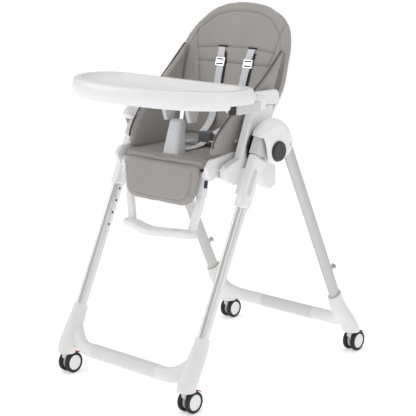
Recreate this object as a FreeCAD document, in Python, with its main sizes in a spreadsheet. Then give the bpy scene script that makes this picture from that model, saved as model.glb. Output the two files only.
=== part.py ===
import FreeCAD, Part
import math
import os
import Sketcher
from FreeCAD import Placement, Rotation, Vector

# A folding baby high chair. Two U-shaped frames, each two legs and a crossbar, are hinged together in
# the rounded housings at the sides. The seat hangs on two carriages that slide on the front legs, which
# are parallel. It carries a reclining backrest, a tilting leg rest with a foot bar, and a sliding tray.
#
# Axes: +X to the child's left, -Y to the front, +Z up, in millimetres. The origin is on the floor under
# the middle of the chair. Most pieces are made on the +X side and mirrored.

SIZES = {
    # overall
    "overall_depth": 772.5,
    "hinge_height": 658.0,
    "hinge_setback": 40.8,
    "front_lean": 24.9,
    "rear_lean": 26.4,
    # legs
    "front_leg_side": 236.0,
    "rear_leg_side": 240.0,
    "front_leg_offset": 37.4,
    "rear_leg_offset": 65.2,
    "front_tube_deep": 34.0,
    "rear_tube_deep": 37.0,
    "front_tube_wide": 26.0,
    "rear_tube_wide": 24.0,
    "tube_wall": 1.6,
    "leg_top_gap": 34.0,
    "collar_height": 190.0,
    "tube_insertion": 42.0,
    # seat height holes in the front legs
    "notch_count": 7,
    "notch_pitch": 36.0,
    "notch_top": 78.0,
    "notch_hole": 7.0,
    "tray_peg_height": 263.0,
    # crossbars and feet
    "foot_deep": 50.0,
    "foot_wide": 56.0,
    "foot_bottom": 61.5,
    "bar_height": 85.0,
    "front_bar_tall": 42.0,
    "rear_bar_tall": 39.0,
    "bar_deep": 34.0,
    "front_bar_half": 125.0,
    "rear_bar_half": 100.0,
    "front_bar_setback": 10.0,
    "rear_bar_setback": 6.0,
    # casters
    "front_caster_side": 234.0,
    "rear_caster_side": 246.0,
    "wheel_radius": 30.0,
    "wheel_wide": 12.5,
    "wheel_gap": 14.0,
    "hub_radius": 21.5,
    "trail": 14.5,
    "stem_radius": 5.5,
    "stem_length": 22.0,
    "axle_radius": 3.0,
    "fork_bend": 50.0,
    "running_clearance": 0.06,
    # hinge housings
    "knuckle_inner": 222.0,
    "knuckle_wide": 29.0,
    "eye_radius": 28.0,
    "pin_radius": 7.0,
    "cheek_inner": 213.8,
    "cheek_wide": 4.7,
    "cheek_radius": 64.0,
    "cover_inner": 262.0,
    "cover_wide": 10.0,
    "button_radius": 27.5,
    "button_thick": 12.0,
    "button_proud": 7.0,
    "button_travel": 4.0,
    # seat carriages
    "carriage_inner": 220.0,
    "carriage_wide": 32.5,
    "carriage_deep": 40.0,
    "carriage_top": 31.0,
    "carriage_bottom": 176.0,
    "slide_clearance": 0.4,
    "trigger_long": 70.0,
    "trigger_wide": 11.0,
    "trigger_forward": 7.0,
    "trigger_thick": 1.2,
    # seat
    "panel_inner": 186.0,
    "panel_wide": 26.0,
    "arm_inner": 224.0,
    "arm_wide": 38.0,
    "arm_low": 772.0,
    "arm_tall": 40.0,
    "arm_rear": -77.0,
    "arm_long": 133.0,
    "arm_tail": 113.0,
    "arm_round": 11.0,
    "pan_half": 175.0,
    "pan_wall": 12.0,
    "pan_front": -212.0,
    "pan_floor_setback": 40.0,
    "pan_rear": 42.0,
    "pan_floor": 610.0,
    "floor_thick": 6.0,
    "pad_thick": 16.0,
    "pad_front": -190.0,
    "pad_rear": -8.0,
    "wing_inner": 147.0,
    "soft_gap": 0.5,
    "post_height": 96.0,
    "post_wide": 56.0,
    # backrest
    "recline_height": 632.0,
    "recline_setback": 26.0,
    "back_lean": 16.5,
    "back_tall": 418.0,
    "back_half": 197.0,
    "back_low_half": 158.0,
    "back_pad_thick": 25.0,
    "back_dish": 40.0,
    "back_shell_thick": 8.0,
    "recline_tube": 8.0,
    # leg rest
    "leg_pivot_height": 600.0,
    "leg_pivot_front": -190.0,
    "pivot_radius": 5.0,
    "cross_tube_radius": 10.5,
    "cross_tube_front": -152.0,
    "cross_tube_height": 598.0,
    "leg_rest_lean": 9.0,
    "calf_half": 130.0,
    "calf_tall": 80.0,
    "calf_pad_thick": 19.0,
    "calf_pad_back": 5.0,
    "calf_plate_thick": 8.0,
    "sleeve_inner": 118.0,
    "sleeve_wide": 29.0,
    "sleeve_deep": 18.0,
    "sleeve_long": 62.0,
    "tongue_wide": 21.0,
    "tongue_thick": 9.6,
    "tongue_gap": 0.4,
    "foot_arm_wide": 25.0,
    "foot_arm_thick": 14.0,
    "tread_half": 132.0,
    "tread_bow": 48.0,
    "tread_deep": 42.0,
    "tread_thick": 20.0,
    "tread_drop": 157.0,
    # tray
    "tray_bottom": 790.0,
    "tray_tall": 48.0,
    "tray_half": 301.0,
    "tray_front": -362.0,
    "tray_rear": -126.0,
    "tray_wall": 4.0,
    "tray_rim": 26.0,
    "tray_floor": 815.0,
    "insert_gap": 0.8,
    "insert_thick": 2.5,
    "prong_side": 44.0,
}

doc = FreeCAD.newDocument("baby_high_chair")
sheet = doc.addObject("Spreadsheet::Sheet", "sheet")
for row, (name, value) in enumerate(SIZES.items(), start=1):
    sheet.set(f"A{row}", name)
    sheet.set(f"B{row}", str(value))
    sheet.setAlias(f"B{row}", name)
doc.recompute()


class Dim:
    """A size that knows its value and the expression that ties it to the sheet."""

    def __init__(self, value, text):
        self.value = value
        self.text = text

    def __add__(self, other):
        other = dim(other)
        return Dim(self.value + other.value, f"({self.text} + {other.text})")

    def __sub__(self, other):
        other = dim(other)
        return Dim(self.value - other.value, f"({self.text} - {other.text})")

    def __mul__(self, factor):
        return Dim(self.value * factor, f"({self.text} * {factor})")

    def __truediv__(self, factor):
        return Dim(self.value / factor, f"({self.text} / {factor})")

    def __neg__(self):
        return Dim(-self.value, f"(0 - {self.text})")


def dim(source):
    """Read a size by name, or pass a number or a Dim through."""
    if isinstance(source, Dim):
        return source
    if isinstance(source, str):
        return Dim(float(sheet.get(source)), f"sheet.{source}")
    return Dim(float(source), f"({float(source)})")


def size(name):
    return float(sheet.get(name))


NODES = {}


def node(name, thing):
    """Give a finished sub-part its name."""
    thing.Label = name
    NODES[name] = thing
    return thing


def primitive(kind, name, place=None, **sizes):
    """A Part primitive whose sizes follow the sheet."""
    thing = doc.addObject(f"Part::{kind}", name)
    for prop, value in sizes.items():
        thing.setExpression(prop, dim(value).text)
    if place is not None:
        thing.Placement = place
    return thing


def feature(name, shape):
    """A Part::Feature for a shape that neither a body nor a primitive gives."""
    thing = doc.addObject("Part::Feature", name)
    thing.Shape = shape
    return thing


def fused(name, things):
    thing = doc.addObject("Part::MultiFuse", name)
    thing.Shapes = things
    thing.Refine = True
    return thing


def cut(name, base, tool):
    thing = doc.addObject("Part::Cut", name)
    thing.Base = base
    thing.Tool = tool
    return thing


def group(name, things):
    """Separate solids that share one node."""
    thing = doc.addObject("Part::Compound", name)
    thing.Links = things
    return thing


def mirrored(name, thing):
    """The same piece on the other side of the chair."""
    twin = doc.addObject("Part::Mirroring", name)
    twin.Source = thing
    twin.Normal = Vector(1, 0, 0)
    return twin


def both_sides(name, thing):
    """Name a right-hand piece, and mirror it to the left."""
    node(f"{name}_right", thing)
    node(f"{name}_left", mirrored(f"{name}_mirror", thing))


def sketch_on(body, role, name):
    sketch = body.newObject("Sketcher::SketchObject", name)
    plane = next(item for item in body.Origin.OriginFeatures if item.Role == role)
    sketch.AttachmentSupport = [(plane, "")]
    sketch.MapMode = "FlatFace"
    return sketch


def outline_body(name, points, width, start, place=None, corners=None, edge_round=None, role="YZ_Plane"):
    """A plate: a many-sided outline, its corners rounded, padded from start by width.

    The sketch holds each point at its two distances from the origin. corners maps the index of a
    point to the radius of its corner, and edge_round softens both faces' borders.
    """
    body = doc.addObject("PartDesign::Body", name)
    sketch = sketch_on(body, role, f"{name}_sketch")
    points = [(dim(a), dim(b)) for a, b in points]
    count = len(points)
    for index, (a, b) in enumerate(points):
        after = points[(index + 1) % count]
        line = Part.LineSegment(Vector(a.value, b.value, 0), Vector(after[0].value, after[1].value, 0))
        sketch.addGeometry(line, False)
    for index in range(count):
        sketch.addConstraint(Sketcher.Constraint("Coincident", index, 2, (index + 1) % count, 1))
    for index, (a, b) in enumerate(points):
        for kind, value in (("DistanceX", a), ("DistanceY", b)):
            number = sketch.addConstraint(Sketcher.Constraint(kind, index, 1, value.value))
            sketch.setExpression(f"Constraints[{number}]", value.text)
    sketch.setExpression(".AttachmentOffset.Base.z", dim(start).text)
    pad = body.newObject("PartDesign::Pad", f"{name}_pad")
    pad.Profile = sketch
    pad.setExpression("Length", dim(width).text)
    doc.recompute()
    last = pad
    by_radius = {}
    for index, radius in (corners or {}).items():
        by_radius.setdefault(radius, []).append(points[index])
    for radius, spots in by_radius.items():
        edges = [f"Edge{number}" for number, edge in enumerate(last.Shape.Edges, start=1)
                 if any(along_pad(edge, a.value, b.value, role) for a, b in spots)]
        last = rounded(body, last, edges, radius)
    if edge_round is not None:
        faces = [f"Edge{number}" for number, edge in enumerate(last.Shape.Edges, start=1)
                 if flat_in(edge, role)]
        last = rounded(body, last, faces, edge_round)
    body.Tip = last
    if place is not None:
        body.Placement = place
    doc.recompute()
    return body


def rounded(body, base, edges, radius):
    fillet = body.newObject("PartDesign::Fillet", f"{body.Name}_round")
    fillet.Base = (base, edges)
    fillet.setExpression("Radius", dim(radius).text)
    doc.recompute()
    if "Invalid" in fillet.State:
        raise RuntimeError(f"{body.Name} cannot be rounded by {dim(radius).value}")
    return fillet


def in_plane(point, role):
    """The two sketch coordinates and the pad coordinate of a point."""
    if role == "YZ_Plane":
        return point.y, point.z, point.x
    if role == "XZ_Plane":
        return point.x, point.z, -point.y
    return point.x, point.y, point.z


def along_pad(edge, a, b, role):
    """True for the edge that the pad drew from the outline's point (a, b)."""
    ends = [in_plane(vertex.Point, role) for vertex in edge.Vertexes]
    if len(ends) != 2 or abs(ends[0][2] - ends[1][2]) < 0.01:
        return False
    return all(math.hypot(end[0] - a, end[1] - b) < 0.01 for end in ends)


def flat_in(edge, role):
    """True for an edge that lies in one of the pad's two end faces."""
    depths = [in_plane(edge.valueAt(at), role)[2] for at in (edge.FirstParameter, edge.LastParameter)]
    return abs(depths[0] - depths[1]) < 0.001


def round_body(name, radius, thick, place, edge_round):
    """A round disc along +X with one softened rim."""
    body = doc.addObject("PartDesign::Body", name)
    sketch = sketch_on(body, "YZ_Plane", f"{name}_sketch")
    sketch.addGeometry(Part.Circle(Vector(0, 0, 0), Vector(0, 0, 1), dim(radius).value), False)
    sketch.addConstraint(Sketcher.Constraint("Coincident", 0, 3, -1, 1))
    number = sketch.addConstraint(Sketcher.Constraint("Radius", 0, dim(radius).value))
    sketch.setExpression(f"Constraints[{number}]", dim(radius).text)
    pad = body.newObject("PartDesign::Pad", f"{name}_pad")
    pad.Profile = sketch
    pad.setExpression("Length", dim(thick).text)
    doc.recompute()
    rim = [f"Edge{number}" for number, edge in enumerate(pad.Shape.Edges, start=1)
           if edge.Closed and edge.CenterOfMass.x > dim(thick).value / 2]
    body.Tip = rounded(body, pad, rim, edge_round)
    body.Placement = place
    doc.recompute()
    return body


def oval_bar(name, deep, wide, low, high, place):
    """A solid oval bar along Z: deep along Y, wide along X."""
    flat = dim(wide).value > dim(deep).value
    major, minor = (wide, deep) if flat else (deep, wide)
    ellipse = primitive("Ellipse", f"{name}_oval", MajorRadius=dim(major) / 2, MinorRadius=dim(minor) / 2)
    ellipse.Placement = Placement(Vector(0, 0, 0), Rotation(Vector(0, 0, 1), 0 if flat else 90))
    bar = doc.addObject("Part::Extrusion", name)
    bar.Base = ellipse
    bar.DirMode = "Custom"
    bar.Dir = Vector(0, 0, 1)
    bar.Solid = True
    bar.setExpression("LengthFwd", (dim(high) - dim(low)).text)
    bar.Placement = place * Placement(Vector(0, 0, dim(low).value), Rotation())
    return bar


def oval_tube(name, deep, wide, low, high, place):
    """A drawn aluminium tube of oval section."""
    outer = oval_bar(f"{name}_outer", deep, wide, low, high, place)
    thin = dim("tube_wall") * 2
    inner = oval_bar(f"{name}_inner", dim(deep) - thin, dim(wide) - thin, low, high, place)
    return cut(name, outer, inner)


def ellipse_wire(centre, across, along, half_across, half_along):
    """An elliptical wire: its half axes lie along the two directions."""
    normal = across.cross(along).normalize()
    major, minor = (half_across, half_along)
    direction = across
    if minor > major:
        major, minor = minor, major
        direction = along
    ellipse = Part.Ellipse()
    ellipse.Center = Vector(0, 0, 0)
    ellipse.MajorRadius = major
    ellipse.MinorRadius = minor
    edge = ellipse.toShape()
    spin = Rotation(direction, normal.cross(direction), normal, "XYZ")
    edge.Placement = Placement(centre, spin)
    return Part.Wire([edge])


def smooth_wire(points):
    """A closed smooth wire through a few points."""
    curve = Part.BSplineCurve()
    curve.interpolate(points, PeriodicFlag=True)
    return Part.Wire([curve.toShape()])


def loft(wires):
    return Part.makeLoft(wires, True, False)


def slab(points, start, wide):
    """A plate across the chair: an outline of (y, z) points, pulled out along X from start."""
    corners = [Vector(start, y, z) for y, z in points + points[:1]]
    return Part.Face(Part.makePolygon(corners)).extrude(Vector(wide, 0, 0))


def box_between(low, high):
    return Part.makeBox(high[0] - low[0], high[1] - low[1], high[2] - low[2], Vector(*low))


def softened(shape, radius, chosen=lambda edge: True):
    """Fillet the chosen edges of a shape."""
    return shape.makeFillet(radius, [edge for edge in shape.Edges if chosen(edge)])


# Places shared by everything: the hinge, and the two leg frames turned about it.
HINGE_Y = -size("hinge_setback")
HINGE_Z = size("hinge_height")
FRONT_FRAME = Placement(Vector(0, HINGE_Y, HINGE_Z), Rotation(Vector(1, 0, 0), -size("front_lean")))
REAR_FRAME = Placement(Vector(0, HINGE_Y, HINGE_Z), Rotation(Vector(1, 0, 0), size("rear_lean")))
HINGE = Placement(Vector(0, HINGE_Y, HINGE_Z), Rotation())
FRONT_STEM_Y = -(size("overall_depth") - size("foot_deep")) / 2
REAR_STEM_Y = size("overall_depth") / 2 - size("wheel_radius") - size("trail")
ALONG_X = Rotation(Vector(0, 1, 0), 90)


def on_leg(frame, side, offset, height):
    """The point of a leg's axis at a height above the floor."""
    start = frame.multVec(Vector(side, offset, 0))
    down = frame.Rotation.multVec(Vector(0, 0, -1))
    return start + down * ((height - start.z) / down.z)


def leg_reach(frame, side, offset, height):
    """How far down the leg that point is, measured from beside the hinge."""
    return (on_leg(frame, side, offset, height) - frame.multVec(Vector(side, offset, 0))).Length


# ---------------------------------------------------------------- front and rear legs

def leg(name, frame, side, offset, deep, wide, top):
    """One leg tube, from inside the hinge housing down into its foot's collar."""
    reach = leg_reach(frame, side.value, offset.value, size("collar_height"))
    place = frame * Placement(Vector(side.value, offset.value, 0), Rotation())
    return oval_tube(name, deep, wide, -(dim(reach) + dim("tube_insertion")), -dim(top), place), place


def front_legs():
    """The front tubes, with the row of holes that the seat's latches drop into."""
    side = dim("front_leg_side")
    offset = -dim("front_leg_offset")
    tube, place = leg("front_leg_tube", FRONT_FRAME, side, offset, "front_tube_deep", "front_tube_wide",
                      "leg_top_gap")
    holes = []
    for notch in range(int(size("notch_count"))):
        down = dim("notch_top") + dim("notch_pitch") * notch
        spot = place * Placement(Vector(0, 0, -down.value), Rotation(Vector(0, 1, 0), -90))
        holes.append(primitive("Cylinder", f"notch_{notch}", spot, Radius=dim("notch_hole") / 2,
                               Height=dim("front_tube_wide") / 2 + 1))
    both_sides("front_leg", cut("front_leg_drilled", tube, fused("notches", holes)))


def rear_legs():
    side = dim("rear_leg_side")
    offset = dim("rear_leg_offset")
    tube, place = leg("rear_leg_tube", REAR_FRAME, side, offset, "rear_tube_deep", "rear_tube_wide", 8)
    both_sides("rear_leg", tube)


# ---------------------------------------------------------------- feet and crossbars

def foot(name, frame, leg_side, offset, stem, bar_y, bar_tall, bar_half, tube):
    """A moulded foot: a collar round the leg, a base over the caster and an elbow to the crossbar."""
    base = size("foot_bottom")
    collar = size("collar_height")
    wide = size("foot_wide") / 2
    deep = size("foot_deep") / 2
    x_axis = Vector(1, 0, 0)
    y_axis = Vector(0, 1, 0)
    tilt = frame.Rotation.multVec(y_axis)
    top = on_leg(frame, leg_side, offset, collar)
    middle = on_leg(frame, leg_side, offset, collar - 45)
    low = Vector((stem.x * 2 + middle.x) / 3, (stem.y * 2 + middle.y) / 3, base + 36)
    tube_deep, tube_wide = tube
    column = loft([
        ellipse_wire(Vector(stem.x, stem.y, base), x_axis, y_axis, wide * 0.94, deep),
        ellipse_wire(low, x_axis, y_axis, wide, deep + 0.5),
        ellipse_wire(middle, x_axis, tilt, tube_wide / 2 + 9, tube_deep / 2 + 7),
        ellipse_wire(top, x_axis, tilt, tube_wide / 2 + 6, tube_deep / 2 + 5),
    ])
    z_axis = Vector(0, 0, 1)
    height = size("bar_height")
    half_deep = size("bar_deep") / 2
    turned = Vector(-0.7, 0, 0.7).normalize()
    corner = Vector(leg_side - 26, (bar_y + middle.y) / 2, height + 18)
    elbow = loft([
        ellipse_wire(Vector(bar_half, bar_y, height), y_axis, z_axis, half_deep, bar_tall / 2),
        ellipse_wire(Vector(bar_half + 34, bar_y, height + 1), y_axis, z_axis, half_deep, bar_tall / 2),
        ellipse_wire(corner, y_axis, turned, half_deep + 1, bar_tall / 2 + 4),
        ellipse_wire(middle, tilt, -x_axis, tube_deep / 2 + 5, tube_wide / 2 + 5),
    ])
    shape = column.fuse(elbow)
    low_cut = box_between((bar_half, stem.y - 200, base - 60), (leg_side + 200, stem.y + 200, base))
    shape = shape.cut(low_cut)
    stem_hole = Part.makeCylinder(size("stem_radius") + size("running_clearance"), size("stem_length") + 1,
                                  Vector(stem.x, stem.y, base - 1))
    shape = shape.cut(stem_hole)
    return feature(name, shape)


def feet():
    front_bar_y = FRONT_STEM_Y + size("front_bar_setback")
    rear_bar_y = REAR_STEM_Y + size("rear_bar_setback")
    front_tube = (size("front_tube_deep"), size("front_tube_wide"))
    rear_tube = (size("rear_tube_deep"), size("rear_tube_wide"))
    makers = (
        ("front", FRONT_FRAME, -size("front_leg_offset"), FRONT_STEM_Y, front_bar_y, front_tube),
        ("rear", REAR_FRAME, size("rear_leg_offset"), REAR_STEM_Y, rear_bar_y, rear_tube),
    )
    for end, frame, offset, stem_y, bar_y, tube in makers:
        side = size(f"{end}_leg_side")
        stem = Vector(size(f"{end}_caster_side"), stem_y, 0)
        tall = size(f"{end}_bar_tall")
        half = size(f"{end}_bar_half")
        block = foot(f"{end}_foot_block", frame, side, offset, stem, bar_y, tall, half, tube)
        reach = leg_reach(frame, side, offset, size("collar_height"))
        place = frame * Placement(Vector(side, offset, 0), Rotation())
        socket = oval_bar(f"{end}_socket", f"{end}_tube_deep", f"{end}_tube_wide",
                          -(dim(reach) + dim("tube_insertion")), -dim(reach - 60), place)
        both_sides(f"{end}_foot", cut(f"{end}_foot_cut", block, socket))
        turn = Placement(Vector(-half, bar_y, size("bar_height")), Rotation(Vector(0, 1, 0), 90))
        bar = oval_bar(f"{end}_bar", "bar_deep", f"{end}_bar_tall", 0, dim(f"{end}_bar_half") * 2, turn)
        node(f"{end}_crossbar", bar)


# ---------------------------------------------------------------- casters

def caster(name, side, stem_y):
    """A twin-wheel caster: a fork between the wheels, the tyres, the hubs on one axle, and a brake."""
    axle = Vector(side, stem_y + size("trail"), size("wheel_radius"))
    gap = size("wheel_gap")
    wide = size("wheel_wide")
    along_x = Rotation(Vector(0, 1, 0), 90)
    web = gap - 1.0
    stem_low = Placement(Vector(side, stem_y, size("foot_bottom") - 2), Rotation())
    spindle = primitive("Cylinder", f"{name}_stem", stem_low,
                        Radius="stem_radius", Height=dim("stem_length") - 2)
    low = Vector(axle.x - web / 2, axle.y, axle.z)
    eye = Part.makeCylinder(11, web, low, Vector(1, 0, 0))
    bend = size("fork_bend")
    neck = Part.makeCylinder(11, web, Vector(low.x, stem_y, bend), Vector(1, 0, 0))
    plate = slab([(axle.y + 11, axle.z), (axle.y + 8, bend), (stem_y - 11, bend), (axle.y - 9, axle.z - 6)],
                 low.x, web)
    cap = Part.makeCylinder(11, 1, Vector(side, stem_y, size("foot_bottom") - 1.3))
    hole = Part.makeCylinder(size("axle_radius") + size("running_clearance"), web + 2, low - Vector(1, 0, 0),
                             Vector(1, 0, 0))
    body = feature(f"{name}_web", eye.fuse([neck, plate, cap]).cut(hole).removeSplitter())
    node(f"caster_fork_{name}", fused(f"{name}_fork", [body, spindle]))
    tyres = []
    discs = []
    for sign in (-1, 1):
        start = axle.x + (gap / 2 if sign > 0 else -gap / 2 - wide)
        ring = Part.makeCylinder(size("wheel_radius"), wide, Vector(start, axle.y, axle.z), Vector(1, 0, 0))
        ring = softened(ring, 3.2, lambda edge: edge.Closed)
        hub = size("hub_radius")
        bore = Part.makeCylinder(hub, wide + 2, Vector(start - 1, axle.y, axle.z), Vector(1, 0, 0))
        tyres.append(feature(f"{name}_tyre", ring.cut(bore)))
        disc = Part.makeCylinder(hub, wide - 1.5, Vector(start + 0.75, axle.y, axle.z), Vector(1, 0, 0))
        discs.append(feature(f"{name}_disc", disc))
    node(f"caster_tyres_{name}", group(f"{name}_tyres", tyres))
    pin = primitive("Cylinder", f"{name}_axle", Placement(axle - Vector(gap / 2 + wide / 2, 0, 0), along_x),
                    Radius="axle_radius", Height=dim("wheel_gap") + dim("wheel_wide"))
    node(f"caster_hubs_{name}", fused(f"{name}_hubs", discs + [pin]))
    pad = slab([(22, 24), (29.5, 20), (29.8, 22.5), (23.5, 26.5)], -13, 26)
    arm = slab([(11.6, 3), (15, 3), (25, 20), (24, 23.5), (20, 23), (9.6, 15.5)], -5, 10)
    hinge = Part.makeCylinder(2.4, 10, Vector(-5, 13.6, 5), Vector(1, 0, 0))
    clear = Part.makeCylinder(11.3, 12, Vector(-6, 0, 0), Vector(1, 0, 0))
    tab = arm.fuse([pad, hinge]).cut(clear).removeSplitter().translated(axle)
    node(f"brake_pedal_{name}", feature(f"{name}_pedal", tab))


def casters():
    for end, stem_y in (("front", FRONT_STEM_Y), ("rear", REAR_STEM_Y)):
        side = size(f"{end}_caster_side")
        caster(f"{end}_right", side, stem_y)
        caster(f"{end}_left", -side, stem_y)


# ---------------------------------------------------------------- hinge housings

def knuckles():
    """The head of each front leg: a socket for the tube and an eye round the hinge pin."""
    eye = dim("eye_radius")
    front = -(dim("front_leg_offset") + dim("front_tube_deep") / 2 + 3)
    points = [(front, -28.5), (front, 27), (-18, 42), (eye, 22), (eye, -28.5)]
    corners = {1: 14, 2: 16, 3: 20, 4: 26}
    head = outline_body("knuckle_head", points, "knuckle_wide", "knuckle_inner", FRONT_FRAME, corners, 2)
    leg_axis = Vector(size("front_leg_side"), -size("front_leg_offset"), 0)
    leg_place = FRONT_FRAME * Placement(leg_axis, Rotation())
    top = -dim("leg_top_gap")
    socket = oval_bar("knuckle_socket", "front_tube_deep", "front_tube_wide", -60, top, leg_place)
    pin_hole = primitive("Cylinder", "knuckle_bore",
                         Placement(Vector(size("knuckle_inner") - 5, HINGE_Y, HINGE_Z), ALONG_X),
                         Radius=dim("pin_radius") + dim("running_clearance"), Height=dim("knuckle_wide") + 10)
    neck = oval_bar("knuckle_neck", dim("front_tube_deep") - dim("tube_wall") * 2,
                    dim("front_tube_wide") - dim("tube_wall") * 2, top - 30, -27, leg_place)
    body = cut("knuckle_bored", cut("knuckle_open", head, socket), pin_hole)
    both_sides("leg_knuckle", fused("knuckle_whole", [body, neck]))


def housing_outline(x, scale):
    """The cover's side view about the hinge: a hood over the knuckle that runs down to the rear leg."""
    rim = [(-61, 54), (-54, 66), (-36, 78), (-6, 86), (36, 73), (62, 45), (71, 14), (62, -9), (38, -24),
           (14, -34), (-14, -34), (-34, -14)]
    lip = [(-34, -14), (-40, 14), (-48, 36), (-61, 54)]
    edges = []
    for points in (rim, lip):
        curve = Part.BSplineCurve()
        curve.interpolate([Vector(x, y * scale, z * scale) for y, z in points])
        edges.append(curve.toShape())
    return Part.Wire(edges)


def housings():
    """The hinge covers, fixed on the rear legs: two cheeks under a hood, hollow round the knuckle.

    Returns the hinge pin, which is pressed into both cheeks and runs in the knuckle's eye.
    """
    inner = size("cheek_inner")
    outer = size("cover_inner") + size("cover_wide")
    wide = outer - inner
    block = loft([housing_outline(inner + wide * at, scale) for at, scale in
                  ((0, 0.66), (0.2, 0.87), (0.5, 1.0), (0.78, 0.99), (0.93, 0.9), (1, 0.8))])
    start = inner + size("cheek_wide")
    inside = size("cover_inner") - start
    room = loft([housing_outline(start + inside * at, scale) for at, scale in
                 ((0, 0.68), (0.25, 0.81), (0.6, 0.9), (1, 0.87))])
    front_room = box_between((start, -160, -90), (start + inside, 20, 120))
    room = room.common(front_room)
    swing = Part.makeCylinder(size("eye_radius") + 8, inside, Vector(start, 0, 0), Vector(1, 0, 0))
    mouth = slab([(-130, 40), (-80, 42), (-30, 10), (0, -10), (16, -60), (-80, -80)], start, inside)
    shape = block.cut(room).cut(swing).cut(mouth)
    cheek = size("cheek_wide")
    disc = Part.makeCylinder(size("cheek_radius"), cheek, Vector(inner, 0, 0), Vector(1, 0, 0))
    below = box_between((inner - 1, -100, -100), (inner + cheek + 1, 100, -16))
    boss = Part.makeCylinder(30, cheek, Vector(inner, 0, 0), Vector(1, 0, 0))
    shape = shape.fuse([disc.cut(below), boss]).removeSplitter()
    pin_end = Part.makeCylinder(size("pin_radius"), outer - inner, Vector(inner, 0, 0), Vector(1, 0, 0))
    recess_radius = size("button_radius") + 0.4
    floor = outer + size("button_proud") - size("button_thick") - size("button_travel") - 0.2
    recess = Part.makeCylinder(recess_radius, 30, Vector(floor, 0, 0), Vector(1, 0, 0))
    shape = shape.cut([pin_end, recess])
    block = feature("housing_block", shape)
    block.Placement = HINGE
    place = REAR_FRAME * Placement(Vector(size("rear_leg_side"), size("rear_leg_offset"), 0), Rotation())
    socket = oval_bar("housing_socket", "rear_tube_deep", "rear_tube_wide", -140, -8, place)
    head_room = [(-59, -60), (-59, 28.5), (-17.5, 44), (29.5, 23), (29.5, -60)]
    tools = [socket]
    for turn in (0, 8, 14):
        place = HINGE * Placement(Vector(), Rotation(Vector(1, 0, 0), turn - size("front_lean")))
        tools.append(outline_body(f"housing_knuckle_room_{turn}", head_room, inside, start, place))
    both_sides("hinge_housing", cut("housing_cut", block, fused("housing_tools", tools)))
    length = floor - 0.5 - inner
    pin = primitive("Cylinder", "hinge_pin", Placement(Vector(inner, HINGE_Y, HINGE_Z), ALONG_X),
                    Radius="pin_radius", Height=length)
    face = outer + size("button_proud") - size("button_thick")
    button = round_body("button_disc", "button_radius", "button_thick",
                        Placement(Vector(face, HINGE_Y, HINGE_Z), Rotation()), 5)
    both_sides("fold_button", button)
    return pin


def rear_fittings(pin):
    """The hinge pins, the covers' screws, and the pegs behind the rear legs where the tray is hung."""
    along_x = Rotation(Vector(0, 1, 0), 90)
    outer = size("cover_inner") + size("cover_wide")
    head = primitive("Cylinder", "cover_screw", Placement(Vector(outer, HINGE_Y + 50, HINGE_Z + 12), along_x),
                     Radius=3.6, Height=0.8)
    back = size("rear_tube_deep") / 2
    down = leg_reach(REAR_FRAME, size("rear_leg_side"), size("rear_leg_offset"), size("tray_peg_height"))
    behind = size("rear_leg_offset") + back - 1
    place = REAR_FRAME * Placement(Vector(size("rear_leg_side"), behind, -down), Rotation())
    stalk = Part.makeCylinder(5, 12, Vector(0, 0, 0), Vector(0, 1, 0))
    flange = Part.makeCylinder(9, 4, Vector(0, 12, 0), Vector(0, 1, 0))
    flange = softened(flange, 1.2, lambda edge: edge.Closed)
    shape = stalk.fuse(flange)
    tube = Part.makeCylinder(back, 60, Vector(0, 1 - back, -30), Vector(0, 0, 1))
    peg = feature("tray_peg", shape.cut(tube))
    peg.Placement = place
    right = [pin, head, peg]
    left = [mirrored(f"{thing.Name}_mirror", thing) for thing in right]
    node("rear_frame_fittings", group("rear_fittings", right + left))


# ---------------------------------------------------------------- seat carriages

def carriages():
    """The sleeves that slide on the front legs and carry the seat, with their squeeze triggers."""
    low = -dim("carriage_bottom")
    top = -dim("carriage_top")
    front = -(dim("front_leg_offset") + dim("carriage_deep") / 2)
    rear = -(dim("front_leg_offset") - dim("carriage_deep") / 2)
    points = [(front, low), (rear, low), (rear, top - 52), (rear + 10, top - 14), (rear + 10, top),
              (front, top)]
    corners = {0: 4, 1: 4, 2: 30, 3: 12}
    sleeve = outline_body("carriage_sleeve", points, "carriage_wide", "carriage_inner", FRONT_FRAME,
                          corners, 10)
    web_low = -dim("carriage_bottom") + 34
    web_points = [(front + 4, web_low), (rear - 4, web_low), (rear - 4, top - 40), (front + 4, top - 40)]
    web_start = dim("panel_inner") + dim("panel_wide")
    web_wide = dim("carriage_inner") - web_start + 6
    web = outline_body("carriage_web", web_points, web_wide, web_start, FRONT_FRAME)
    place = FRONT_FRAME * Placement(Vector(size("front_leg_side"), -size("front_leg_offset"), 0), Rotation())
    gap = dim("slide_clearance") * 2
    bore = oval_bar("carriage_bore", dim("front_tube_deep") + gap, dim("front_tube_wide") + gap,
                    low - 10, top + 10, place)
    outer = dim("carriage_inner") + dim("carriage_wide")
    half_long = dim("trigger_long") / 2
    half_wide = dim("trigger_wide") / 2
    middle = (low + top) / 2
    trigger_y = -size("front_leg_offset") - size("trigger_forward")
    spot = FRONT_FRAME * Placement(Vector(0, trigger_y, middle.value), Rotation())

    def slot(name, grow, start, thick):
        wide = half_wide + grow
        tall = half_long + grow
        shape = [(-wide, -tall), (wide, -tall), (wide, tall), (-wide, tall)]
        radius = wide - 0.1
        return outline_body(name, shape, thick, start, spot, {index: radius for index in range(4)})

    recess = slot("trigger_recess", 1.0, outer - 2.0, 6)
    tools = fused("carriage_tools", [bore, recess])
    both_sides("carriage", cut("carriage_cut", fused("carriage_body", [sleeve, web]), tools))
    thick = dim("trigger_thick")
    plate = slot("trigger_plate", 0, outer - 0.4 - thick, thick)
    node("height_triggers", group("trigger_pair", [plate, mirrored("trigger_mirror", plate)]))


# ---------------------------------------------------------------- seat

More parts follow.
